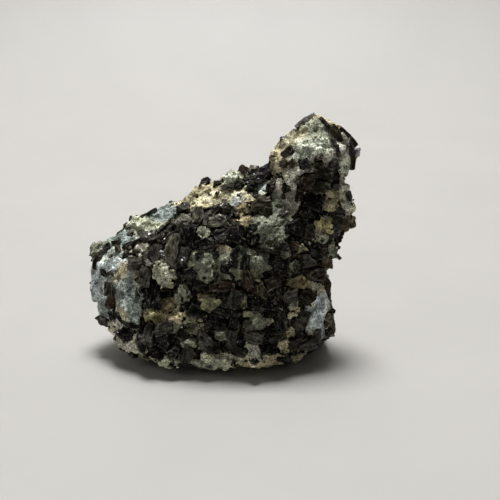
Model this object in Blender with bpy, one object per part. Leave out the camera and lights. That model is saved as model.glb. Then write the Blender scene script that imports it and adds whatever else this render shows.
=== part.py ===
"""Zincite cluster: a hand-sized lump of matrix, crowded with dark blocky crystals and paler grains.

The rock is one natural piece, so it is one closed solid. Four broken chunks give it its form: a heavy base,
a left end, a sloping ridge and a knob that leans over to the right. They are melted together and roughened,
then the crystals, seams of blades and grains are set into the surface and fused with it.

Sizes are millimetres until the last step. +X runs to the right, +Y away from the viewer, +Z up, and the
origin is in the middle of the flat face that the rock rests on.
"""

import math
import random
from typing import NamedTuple

import bmesh
import bpy
from mathutils import Matrix, Vector, noise
from mathutils.bvhtree import BVHTree

MM = 0.001
NAME = "zincite_cluster"

# Corners of the broken chunks (x, y, z). Each chunk is the convex block round its corners.
CHUNKS = {
    "base": (
        (-42, -14, 8), (-31, -20, 7), (-14, -25, 6), (12, -27, 5), (32, -18, 5), (41, -9, 10),
        (-22, -11, -3), (26, -11, -3), (-46, 4, 10), (-30, 20, 3), (0, 27, -3), (28, 22, -3), (39, 8, 3),
        (-44, -6, 36), (-20, -16, 42), (12, -19, 45), (36, -13, 40), (40, 6, 37),
        (-38, 16, 34), (4, 24, 46), (30, 20, 42),
    ),
    "left_end": (
        (-49, -2, 14), (-51, 5, 23), (-51, 4, 36), (-51, 8, 40), (-40, 13, 41), (-34, 12, 50),
        (-40, -12, 30), (-42, -12, 14), (-22, -18, 20), (-24, -16, 42), (-26, 11, 54), (-30, 22, 20),
    ),
    "ridge": (
        (-32, 9, 50), (-26, -13, 38), (-20, -9, 48), (-14, 10, 60), (-6, 9, 66), (1, 9, 67), (2, -12, 54),
        (16, 8, 63), (24, -15, 54), (38, -12, 50), (49, 4, 53), (49, 6, 61), (36, 20, 58), (10, 22, 56),
        (-20, 22, 38), (24, 14, 72), (20, -18, 36), (40, -6, 36), (44, 0, 49),
    ),
    "knob": (
        (13, 4, 64), (20, -7, 67), (36, -9, 66), (45, -2, 68), (50, 6, 74), (50, 6, 79),
        (46, 2, 84), (39, 6, 90), (33, 6, 92), (25, 8, 85), (16, 9, 80), (40, 16, 74),
        (26, 18, 70), (34, -6, 80), (24, -5, 76), (30, -4, 60), (42, 0, 58), (28, 14, 60),
    ),
}
MELT_GRAIN = 2.2
SMOOTHINGS = 3
BODY_FACES = 2100

# The broken surface: how far each kind of relief stands out, and how far its bumps are apart.
SWELL_HEIGHT = 2.0
SWELL_SPAN = 21
LUMP_HEIGHT = 1.3
LUMP_SPAN = 8
LUMP_SHIFT = Vector((7, 3, 5))
CREASE_DEPTH = 1.3
CREASE_SPAN = 11
CREASE_WIDTH = 0.3

# Places where the surface is sunk: (x, y, z) of the middle, radius and depth.
HOLLOWS = (
    ((31, -16, 56), 9, 3.0),
    ((-29, -22, 24), 6, 1.5),
    ((0, -24, 22), 9, 1.6),
    ((44, -6, 66), 6, 1.5),
)

# The point of view from which the front was measured. A sight line starts at the eye and passes through a
# pixel of the 500-pixel picture.
VIEW_TILT = math.radians(20)
VIEW_AIM = Vector((9.4, 0, 40.5))
VIEW_DISTANCE = 360
VIEW_FOCUS = 972
PICTURE_MIDDLE = 250
ROCK_MIDDLE = (232, 262)

FLOOR_SIZE = 200


class Growth(NamedTuple):
    """One crystal or grain: where it is seen (pixel), its size in millimetres, turn in degrees."""

    across: float
    down: float
    long: float
    wide: float
    turn: float = 0
    proud: float = 1.2
    form: str = "block"


# Dark crystals on the side that faces the viewer.
CRYSTALS = (
    Growth(306, 121, 8.5, 2.6, 30, 0.6), Growth(336, 133, 7.0, 3.0, -48, 0.7), Growth(288, 153, 5.0, 3.0, 30),
    Growth(324, 175, 6.5, 4.0, -10, 1.8), Growth(308, 181, 6.0, 4.5, 10, 1.5),
    Growth(318, 186, 5.0, 4.5, -15, 1.2), Growth(312, 204, 8.5, 10.5, 5, 0.6),
    Growth(339, 212, 5.5, 4.0, -10), Growth(296, 228, 8.0, 7.5, -10, 2.0),
    Growth(262, 208, 7.5, 7.2, 15, 2.4, "round"), Growth(236, 233, 5.5, 6.0, -20, 1.8),
    Growth(222, 235, 6.0, 5.0, 10, 1.4), Growth(206, 244, 7.5, 3.8, 5, 1.6),
    Growth(190, 239, 9.5, 3.6, 84, 1.6), Growth(218, 221, 6.2, 4.0, 3, 2.0),
    Growth(198, 216, 6.0, 3.4, 80, 1.6), Growth(207, 219, 6.0, 2.6, 70, 1.2),
    Growth(185, 222, 6.0, 5.8, 20, 2.0, "round"), Growth(184, 208, 5.2, 3.0, 5, 1.4),
    Growth(150, 237, 5.4, 4.0, 25, 1.6), Growth(136, 263, 5.6, 4.0, 8, 1.6),
    Growth(155, 256, 7.4, 3.4, -75, 1.4), Growth(172, 254, 12.0, 4.8, 80, 2.2),
    Growth(184, 258, 6.4, 4.6, 80, 1.8), Growth(176, 236, 6.5, 4.5, 20, 1.2),
    Growth(190, 273, 5.2, 3.8, 20, 1.4), Growth(144, 277, 6.4, 4.2, 75, 1.3),
    Growth(152, 293, 11.0, 6.0, 84, 0.9), Growth(112, 303, 5.0, 4.6, -60, 1.5),
    Growth(109, 290, 5.0, 3.4, 80, 1.2), Growth(104, 321, 4.8, 3.4, -60, 1.4),
    Growth(126, 333, 8.8, 4.6, -2, 1.5), Growth(264, 176, 6.5, 5.0, 30, 1.8),
    Growth(234, 258, 6.4, 3.2, 82, 1.4), Growth(246, 262, 5.6, 2.6, 75, 1.4),
    Growth(268, 248, 8.0, 4.0, -8, 1.8), Growth(279, 263, 7.5, 5.0, -5, 1.6),
    Growth(316, 249, 6.4, 3.8, 85, 1.4), Growth(307, 262, 5.0, 4.0, 0, 1.2),
    Growth(314, 274, 7.2, 4.4, 8, 2.0), Growth(326, 262, 4.6, 3.8, -15, 1.4),
    Growth(326, 285, 5.0, 3.8, 75, 1.2), Growth(305, 296, 5.5, 4.5, -35, 1.4),
    Growth(290, 297, 5.0, 4.4, 10, 1.2), Growth(262, 291, 5.5, 4.0, -60, 1.5),
    Growth(274, 283, 5.5, 4.2, 15, 1.5), Growth(248, 282, 6.5, 3.6, -75, 1.4),
    Growth(222, 286, 9.0, 3.2, 4, 1.2), Growth(203, 287, 6.0, 3.4, -12, 1.0),
    Growth(236, 300, 6.5, 4.6, 70, 1.3), Growth(270, 305, 7.5, 4.2, -12, 1.5),
    Growth(281, 320, 6.4, 4.6, -70, 1.4), Growth(300, 321, 7.2, 4.8, 80, 1.6),
    Growth(254, 338, 6.4, 5.0, -12, 1.8), Growth(277, 336, 6.0, 4.0, 10, 1.2),
    Growth(316, 334, 5.0, 3.8, 75, 1.2), Growth(308, 345, 7.5, 3.4, 5, 1.3),
    Growth(293, 345, 4.6, 3.6, 20, 1.1), Growth(221, 313, 7.0, 4.6, -15, 1.4),
    Growth(196, 312, 6.4, 4.6, -30, 1.4), Growth(237, 317, 5.4, 3.6, 80, 1.2),
    Growth(216, 324, 7.0, 3.4, -10, 1.2), Growth(165, 328, 6.6, 4.6, 12, 1.5),
    Growth(149, 334, 6.8, 4.2, 84, 1.3), Growth(165, 342, 6.4, 4.6, 60, 1.6),
    Growth(181, 336, 4.6, 3.8, -30, 1.2), Growth(205, 341, 6.6, 4.8, -50, 1.5),
    Growth(232, 341, 6.4, 4.0, 85, 1.4), Growth(187, 354, 6.6, 4.0, 75, 1.3),
    Growth(158, 354, 4.8, 4.6, 10, 1.2, "round"), Growth(173, 352, 4.6, 3.6, 25, 1.2),
    Growth(270, 350, 5.4, 3.6, 10, 1.2), Growth(239, 352, 5.0, 3.6, -20, 1.0),
    Growth(284, 359, 4.8, 3.0, 25, 1.0), Growth(142, 344, 6.8, 2.8, 86, 1.0),
)

# Paler grains and lumps on the same side.
GRAINS = (
    Growth(163, 275, 9.6, 6.2, -62, 1.8), Growth(183, 294, 6.4, 5.4, -15, 1.6),
    Growth(211, 303, 8.2, 6.6, -25, 1.8), Growth(155, 315, 7.6, 4.0, 8, 1.8, "round"),
    Growth(325, 228, 7.8, 6.4, 80, 1.6), Growth(232, 178, 6.0, 5.4, 20, 2.6, "round"),
    Growth(97, 249, 6.0, 5.4, 40, 1.6, "round"), Growth(203, 233, 4.8, 4.0, -35, 1.3),
    Growth(257, 323, 7.2, 4.4, 12, 1.3), Growth(333, 201, 8.0, 6.6, 20, 1.8),
    Growth(348, 222, 6.2, 5.6, 50, 2.6, "round"), Growth(331, 325, 8.5, 4.2, -84, 1.4),
    Growth(336, 251, 6.0, 3.0, -78, 1.6), Growth(222, 363, 11.5, 5.0, 2, 1.4),
    Growth(254, 357, 6.8, 4.4, -70, 1.3), Growth(168, 364, 8.6, 2.8, 2, 1.2),
    Growth(340, 186, 5.2, 3.4, 0, 1.2), Growth(134, 222, 6.5, 4.4, 45, 1.6, "round"),
    Growth(129, 305, 12.0, 5.8, -84, 1.4, "round"), Growth(112, 255, 6.6, 5.6, 30, 1.6, "round"),
    Growth(322, 304, 5.4, 4.6, 70, 1.2, "round"), Growth(205, 258, 6.6, 4.4, -10, 1.2),
    Growth(206, 274, 6.4, 5.0, 0, 1.2), Growth(261, 262, 6.0, 4.6, -8, 1.0),
    Growth(184, 319, 5.6, 3.6, -40, 1.2), Growth(358, 154, 5.6, 2.8, 80, 0.4, "round"),
    Growth(96, 291, 7.5, 4.4, 84, 1.2, "round"), Growth(275, 156, 5.6, 4.6, 40, 1.4, "round"),
    Growth(145, 224, 6.4, 3.6, 25, 1.2, "round"), Growth(290, 352, 5.0, 2.8, 5, 0.8),
)

# Thin dark seams: the pixels that each follows, and its width.
SEAMS = (
    (((93, 267), (98, 257), (104, 249), (111, 244), (121, 243)), 2.2),
    (((127, 229), (137, 220), (147, 214), (156, 209)), 1.1),
    (((123, 247), (133, 243), (143, 239)), 1.9),
    (((117, 313), (122, 321), (131, 325), (142, 329)), 1.7),
    (((341, 128), (349, 136), (358, 145)), 1.3),
    (((348, 145), (353, 153), (352, 168)), 2.0),
    (((332, 138), (337, 147), (339, 156)), 1.4),
    (((321, 119), (326, 124), (333, 131)), 1.4),
)

# How far the blades of a seam overlap, as a share of their length, and how far they stand out.
BLADE_OVERLAP = 0.15
BLADE_PROUD = 0.45

# Bare matrix on the same side, where no crystal grows of itself: pixel, half sizes in millimetres, turn.
BARE = (
    (312, 144, 7.4, 5.0, 10), (318, 125, 4.6, 2.0, 0), (303, 133, 3.6, 1.6, 35), (276, 154, 4.6, 3.6, 40),
    (284, 143, 3.6, 2.4, 30), (274, 167, 4.4, 2.2, 0), (344, 155, 2.6, 5.6, 0), (357, 154, 1.6, 3.6, 0),
    (326, 117, 4.4, 1.2, -20), (290, 190, 3.2, 7.4, 0), (277, 214, 3.6, 5.4, 10), (270, 229, 6.0, 5.2, 0),
    (246, 222, 2.4, 1.4, 0), (188, 195, 5.2, 2.6, 25), (214, 196, 8.6, 2.6, 5), (204, 188, 6.4, 2.0, 20),
    (234, 203, 1.8, 1.8, 0), (246, 202, 2.6, 3.4, 0), (241, 214, 3.0, 2.2, 0), (163, 212, 5.2, 3.0, 25),
    (145, 224, 4.6, 2.4, 25), (122, 236, 3.4, 2.6, 10), (106, 266, 4.0, 2.4, 20), (120, 272, 4.4, 3.6, 0),
    (142, 248, 3.2, 2.0, 10), (97, 288, 2.6, 7.4, 0), (128, 299, 3.6, 9.4, 8), (166, 236, 3.2, 2.0, 0),
    (224, 252, 5.0, 2.6, 10), (248, 252, 4.4, 2.2, 0), (262, 262, 4.0, 3.2, 0), (181, 317, 2.4, 3.0, 30),
    (194, 327, 4.4, 2.0, -30), (244, 303, 1.2, 3.0, -15), (116, 324, 3.2, 3.0, 0), (125, 344, 4.6, 1.8, -8),
    (136, 350, 2.2, 2.2, 0), (321, 303, 3.4, 3.8, 0), (317, 318, 3.0, 3.0, 0), (324, 332, 1.8, 7.0, 6),
    (350, 205, 1.6, 3.8, 0), (323, 246, 1.8, 2.8, 0), (222, 361, 6.4, 3.2, 0), (254, 357, 2.4, 3.8, 15),
    (268, 364, 5.6, 1.6, -5), (297, 307, 1.8, 1.6, 0), (330, 158, 3.6, 2.8, 0), (298, 285, 2.6, 2.0, 0),
)

# Crystals that are too many to place by hand: how many tries, and how many are kept.
WILD_SEED = 11
WILD_TRIES = 4000
WILD_CRYSTALS = 50
WILD_LONG = (5.0, 9.0)
WILD_PROUD = (0.5, 1.5)
WILD_LEAN = 0.2
LEAST_HEIGHT = 1.5
ROOM = 0.5
ON_BARE_SHARE = 0.06
ROUND_SHARE = 0.3
FRONT_LEAN = 0.22
TOWARDS_VIEWER = 0.8

# How deep a growth sits: as deep again as it stands out, and a share of its width more.
ROOT_SHARE = 0.6


def hull_of(corners):
    """A new bmesh of the convex block round some corners."""
    shape = bmesh.new()
    for corner in corners:
        shape.verts.new(corner)
    made = bmesh.ops.convex_hull(shape, input=shape.verts)
    inner = [v for v in made["geom_interior"] if isinstance(v, bmesh.types.BMVert)]
    bmesh.ops.delete(shape, geom=inner, context="VERTS")
    return shape


def add(target, shape, place=None):
    """Moves a small bmesh's shape into the target bmesh, and frees it."""
    if place is not None:
        shape.transform(place)
    mesh = bpy.data.meshes.new("piece")
    shape.to_mesh(mesh)
    shape.free()
    target.from_mesh(mesh)
    bpy.data.meshes.remove(mesh)


def object_of(name, shape):
    """A scene object that holds the bmesh, which is freed."""
    mesh = bpy.data.meshes.new(name)
    shape.to_mesh(mesh)
    shape.free()
    holder = bpy.data.objects.new(name, mesh)
    bpy.context.scene.collection.objects.link(holder)
    return holder


def evaluated_shape(holder):
    """The object as its modifiers leave it, as a bmesh. The object is removed."""
    graph = bpy.context.evaluated_depsgraph_get()
    shape = bmesh.new()
    shape.from_object(holder, graph)
    bpy.data.objects.remove(holder)
    return shape


def relief(point):
    """How far the broken surface stands out at a point: broad swells, lumps, and creases between lumps."""
    swell = SWELL_HEIGHT * noise.noise(point / SWELL_SPAN)
    lump = LUMP_HEIGHT * noise.noise(point / LUMP_SPAN + LUMP_SHIFT)
    near, second = noise.voronoi(point / CREASE_SPAN)[0][:2]
    crease = CREASE_DEPTH * max(0, 1 - (second - near) / CREASE_WIDTH)
    sunk = sum(
        depth * max(0, 1 - ((point - Vector(middle)).length / radius) ** 2)
        for middle, radius, depth in HOLLOWS
    )
    return swell + lump - crease - sunk


def rough_body():
    """The chunks melted together and roughened, as a fine even bmesh."""
    blocks = bmesh.new()
    for corners in CHUNKS.values():
        add(blocks, hull_of(corners))
    holder = object_of("blocks", blocks)
    remesh = holder.modifiers.new("melt", "REMESH")
    remesh.mode = "VOXEL"
    remesh.voxel_size = MELT_GRAIN
    smooth = holder.modifiers.new("soften", "SMOOTH")
    smooth.factor = 0.5
    smooth.iterations = SMOOTHINGS
    body = evaluated_shape(holder)
    body.normal_update()
    moves = [(vert, vert.normal * relief(vert.co)) for vert in body.verts]
    for vert, move in moves:
        vert.co += move
    body.normal_update()
    return body


def thinned(body):
    """The body with fewer faces."""
    bmesh.ops.triangulate(body, faces=body.faces)
    count = len(body.faces)
    holder = object_of("thick", body)
    decimate = holder.modifiers.new("thin", "DECIMATE")
    decimate.ratio = BODY_FACES / count
    return evaluated_shape(holder)


def sight_line(across, down):
    """The eye and the direction in which it sees a pixel."""
    forward = Vector((0, math.cos(VIEW_TILT), -math.sin(VIEW_TILT)))
    up = Vector((0, math.sin(VIEW_TILT), math.cos(VIEW_TILT)))
    right = Vector((1, 0, 0))
    eye = VIEW_AIM - forward * VIEW_DISTANCE
    ray = (
        forward * VIEW_FOCUS
        + right * (across - PICTURE_MIDDLE)
        + up * (PICTURE_MIDDLE - down)
    )
    return eye, ray.normalized(), right, up


def seen_at(tree, across, down):
    """Where the surface is seen at a pixel, with its normal. A pixel just past the edge slides inwards."""
    middle = Vector(ROCK_MIDDLE)
    pixel = Vector((across, down))
    for _ in range(20):
        eye, ray, _, _ = sight_line(*pixel)
        place, normal, _, _ = tree.ray_cast(eye, ray)
        if place is not None:
            return place, normal
        pixel += (middle - pixel).normalized()
    raise ValueError(f"nothing is seen near pixel {across}, {down}")


def cut_off(shape, place, normal):
    """Cuts away what lies beyond a plane, and closes the cut."""
    everything = shape.verts[:] + shape.edges[:] + shape.faces[:]
    bmesh.ops.bisect_plane(
        shape, geom=everything, plane_co=place, plane_no=normal, clear_outer=True
    )
    rim = [edge for edge in shape.edges if edge.is_boundary]
    if rim:
        bmesh.ops.edgeloop_fill(shape, edges=rim)


def jitter(dice, reach):
    """A random short vector."""
    return Vector([dice.uniform(-reach, reach) for _ in range(3)])


def height(proud, long, wide):
    """The full height of a growth, with the part that is hidden in the rock."""
    return 2 * proud + ROOT_SHARE * min(long, wide)


def crystal(dice, long, wide, tall, form):
    """A leaning block with broken upper corners, its long side along X. A round one has all four cut."""
    shape = bmesh.new()
    bmesh.ops.create_cube(shape, size=1)
    lean = Matrix.Identity(4)
    lean[0][2] = dice.uniform(-0.3, 0.3)
    lean[1][2] = dice.uniform(-0.3, 0.3)
    lean[2][0] = dice.uniform(-0.25, 0.25)
    shape.transform(lean)
    corners = [Vector((x, y, 1)) for x in (-1, 1) for y in (-1, 1)]
    chosen = corners if form == "round" else dice.sample(corners, 2)
    for corner in chosen:
        normal = (corner + jitter(dice, 0.4)).normalized()
        reach = dice.uniform(0.5, 0.58) if form == "round" else dice.uniform(0.5, 0.64)
        cut_off(shape, normal * reach, normal)
    shape.transform(Matrix.Diagonal((long, wide, tall, 1)))
    return shape


def standing(place, outward, along, proud, tall):
    """The matrix that sets a crystal into the surface, its top facing outward."""
    z = outward.normalized()
    x = (along - z * along.dot(z)).normalized()
    y = z.cross(x)
    turn = Matrix((x, y, z)).transposed().to_4x4()
    return Matrix.Translation(place + z * (proud - tall / 2)) @ turn


def seen_growth(tree, growth, dice):
    """One crystal or grain of the front, as (shape, place in the rock)."""
    place, normal = seen_at(tree, growth.across, growth.down)
    _, ray, right, up = sight_line(growth.across, growth.down)
    turn = math.radians(growth.turn)
    along = right * math.cos(turn) + up * math.sin(turn)
    outward = (normal - ray * TOWARDS_VIEWER).normalized() + jitter(dice, FRONT_LEAN)
    tall = height(growth.proud, growth.long, growth.wide)
    shape = crystal(dice, growth.long, growth.wide, tall, growth.form)
    return shape, standing(place, outward, along, growth.proud, tall)


def seam_growths():
    """The seams as chains of blades."""
    for pixels, width in SEAMS:
        for start, end in zip(pixels, pixels[1:]):
            (x0, y0), (x1, y1) = start, end
            turn = math.degrees(math.atan2(y0 - y1, x1 - x0))
            length = math.dist(start, end) * VIEW_DISTANCE / VIEW_FOCUS
            middle = ((x0 + x1) / 2, (y0 + y1) / 2)
            yield Growth(*middle, length * (1 + BLADE_OVERLAP), width, turn, BLADE_PROUD)


def bare_places(tree):
    """The middles of the bare patches in the rock, with their reach."""
    for across, down, half_long, half_wide, _ in BARE:
        place, _ = seen_at(tree, across, down)
        yield place, max(half_long, half_wide) * 0.8 + min(half_long, half_wide) * 0.2


def wild_growths(tree, taken, dice):
    """Crystals all round the rock, wherever the hand-placed ones and the bare patches leave room."""
    bare = list(bare_places(tree))
    kept = 0
    for _ in range(WILD_TRIES):
        start = jitter(dice, 1).normalized() * VIEW_DISTANCE
        target = Vector((dice.uniform(-40, 38), dice.uniform(-10, 16), dice.uniform(6, 60)))
        place, normal, _, _ = tree.ray_cast(start, (target - start).normalized())
        long = dice.uniform(*WILD_LONG)
        wide = long * dice.uniform(0.5, 0.85)
        lean = jitter(dice, 1)
        on_bare_luck = dice.random()
        if place is None or place.z < LEAST_HEIGHT:
            continue
        crowded = any((place - other).length < ROOM * (long + size) for other, size in taken)
        on_bare = any((place - middle).length < reach + wide / 2 for middle, reach in bare)
        if crowded or (on_bare and on_bare_luck > ON_BARE_SHARE):
            continue
        taken.append((place, long))
        kept += 1
        proud = dice.uniform(*WILD_PROUD)
        tall = height(proud, long, wide)
        outward = normal + jitter(dice, WILD_LEAN)
        form = "round" if dice.random() < ROUND_SHARE else "block"
        yield crystal(dice, long, wide, tall, form), standing(place, outward, lean, proud, tall)
        if kept == WILD_CRYSTALS:
            return


def all_growths(tree):
    """Every crystal, blade and grain of the rock in one bmesh of closed shapes."""
    growths = bmesh.new()
    taken = []
    dice = random.Random(WILD_SEED)
    for growth in (*CRYSTALS, *GRAINS, *seam_growths()):
        shape, place = seen_growth(tree, growth, dice)
        taken.append((place.translation.copy(), growth.long))
        add(growths, shape, place)
    for shape, place in wild_growths(tree, taken, dice):
        add(growths, shape, place)
    bmesh.ops.recalc_face_normals(growths, faces=growths.faces)
    return growths


def floor_block():
    """What is cut away under the resting face."""
    block = bmesh.new()
    bmesh.ops.create_cube(block, size=FLOOR_SIZE)
    bmesh.ops.translate(block, verts=block.verts, vec=(0, 0, -FLOOR_SIZE / 2))
    return block


def helper(name, shape):
    """An object that shapes the rock and isn't part of it."""
    holder = object_of(name, shape)
    holder.hide_render = True
    holder.display_type = "WIRE"
    return holder


def boolean(holder, name, operation, other, crossing=False):
    """A Boolean modifier on the holder."""
    step = holder.modifiers.new(name, "BOOLEAN")
    step.operation = operation
    step.object = other
    step.solver = "EXACT"
    step.use_self = crossing


def stone_material():
    """Dark crystals in a grey-green matrix, as one mean finish."""
    material = bpy.data.materials.new("rock")
    material.use_nodes = True
    shader = material.node_tree.nodes["Principled BSDF"]
    shader.inputs["Base Color"].default_value = (0.11, 0.11, 0.095, 1)
    shader.inputs["Roughness"].default_value = 0.6
    shader.inputs["Metallic"].default_value = 0.0
    return material


def main():
    """Builds the rock."""
    for old in list(bpy.data.objects):
        bpy.data.objects.remove(old)
    body = rough_body()
    tree = BVHTree.FromBMesh(body)
    growths = helper("growths", all_growths(tree))
    floor = helper("floor", floor_block())
    rock = object_of(NAME, thinned(body))
    boolean(rock, "fuse", "UNION", growths, crossing=True)
    boolean(rock, "rest", "DIFFERENCE", floor)
    for holder in (rock, growths, floor):
        holder.data.transform(Matrix.Scale(MM, 4))
    rock.data.materials.append(stone_material())


if __name__ == "__main__":
    main()
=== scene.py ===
"""The looks of the zincite cluster: dark crystals and pale grains in a grey-green matrix.

The rock is modelled in millimetres and scaled to metres as the last step of each piece. The front is laid out
from sight lines: a place named by a pixel is where the line of sight through that pixel meets the rock.
"""

import logging
import math
import random
from dataclasses import dataclass, field
from enum import Enum
from functools import cache
from typing import Iterable, Iterator, NamedTuple, Sequence

import bmesh
import bpy
import numpy as np
from mathutils import Matrix, Vector, noise
from mathutils.bvhtree import BVHTree


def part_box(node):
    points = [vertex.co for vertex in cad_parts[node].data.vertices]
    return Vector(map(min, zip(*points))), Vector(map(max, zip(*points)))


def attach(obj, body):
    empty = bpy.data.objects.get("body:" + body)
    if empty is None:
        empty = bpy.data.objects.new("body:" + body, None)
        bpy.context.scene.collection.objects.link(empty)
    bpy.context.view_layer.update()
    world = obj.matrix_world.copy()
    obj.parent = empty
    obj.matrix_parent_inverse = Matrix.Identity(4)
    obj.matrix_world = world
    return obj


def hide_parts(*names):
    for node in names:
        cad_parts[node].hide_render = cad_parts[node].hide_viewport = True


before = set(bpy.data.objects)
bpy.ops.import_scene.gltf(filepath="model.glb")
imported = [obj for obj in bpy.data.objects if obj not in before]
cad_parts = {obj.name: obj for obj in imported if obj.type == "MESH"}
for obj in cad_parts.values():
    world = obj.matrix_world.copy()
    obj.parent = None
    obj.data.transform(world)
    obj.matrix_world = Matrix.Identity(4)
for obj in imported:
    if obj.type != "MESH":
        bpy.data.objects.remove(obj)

LOG = logging.getLogger("zincite_cluster")
MM = 0.001
NODE = "zincite_cluster"
BODY = "root"
Corner = tuple[float, float, float]
Colour = tuple[float, float, float]
Range = tuple[float, float]
# An area of the front: column and row of its middle pixel, half sizes in millimetres, turn in degrees.
Ellipse = tuple[float, float, float, float, float]

# Start of Blender's vector noise, which would otherwise differ from run to run.
NOISE_SEED = 5


class Tint(Enum):
    """Colours of the rock's minerals, as linear red, green and blue."""

    BLACK = (0.004, 0.0035, 0.003)
    CHARCOAL = (0.007, 0.0066, 0.0056)
    BROWN = (0.027, 0.018, 0.011)
    OLIVE = (0.018, 0.0165, 0.009)
    GREY = (0.030, 0.0285, 0.0235)
    PURPLE = (0.013, 0.010, 0.012)
    GREEN_BLACK = (0.008, 0.010, 0.007)
    TAN = (0.34, 0.28, 0.18)
    UMBER = (0.15, 0.12, 0.07)
    ASH = (0.046, 0.043, 0.035)
    SMOKY = (0.105, 0.10, 0.076)
    PALE_GREEN = (0.60, 0.62, 0.46)
    GREY_GREEN = (0.36, 0.38, 0.275)
    BLUE = (0.42, 0.475, 0.425)
    PALE_BLUE = (0.54, 0.60, 0.54)
    CREAM = (0.76, 0.70, 0.47)
    SAND = (0.58, 0.51, 0.32)
    WHITE = (0.84, 0.82, 0.68)
    ICE = (0.76, 0.83, 0.82)
    MINT = (0.72, 0.76, 0.61)
    SAGE = (0.25, 0.265, 0.195)
    STRAW = (0.42, 0.38, 0.19)
    TEAL = (0.28, 0.33, 0.31)
    MOSS = (0.24, 0.235, 0.13)
    OCHRE = (0.27, 0.22, 0.12)
    YELLOW_GREEN = (0.34, 0.34, 0.21)
    LILAC = (0.33, 0.32, 0.34)


class Form(Enum):
    """Shapes of a crystal or grain."""

    BLOCK = "block"
    ROUND = "round"


@dataclass(frozen=True)
class Growth:
    """One crystal or grain of the front.

    Args:
        across: pixel column in which its middle is seen.
        down: pixel row in which its middle is seen.
        long: its length in millimetres.
        wide: its width in millimetres.
        turn: the turn of its length against the picture's width, in degrees.
        proud: how far it stands out of the rock.
        form: the shape.
        tint: its colour, or None for one that the dice choose.
    """

    across: float
    down: float
    long: float
    wide: float
    turn: float = 0
    proud: float = 1.2
    form: Form = Form.BLOCK
    tint: Tint | None = None


class Layer(NamedTuple):
    """One layer of smooth noise: its height, how far its bumps are apart, and what moves its pattern."""

    height: float
    span: float
    shift: float = 0


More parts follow.
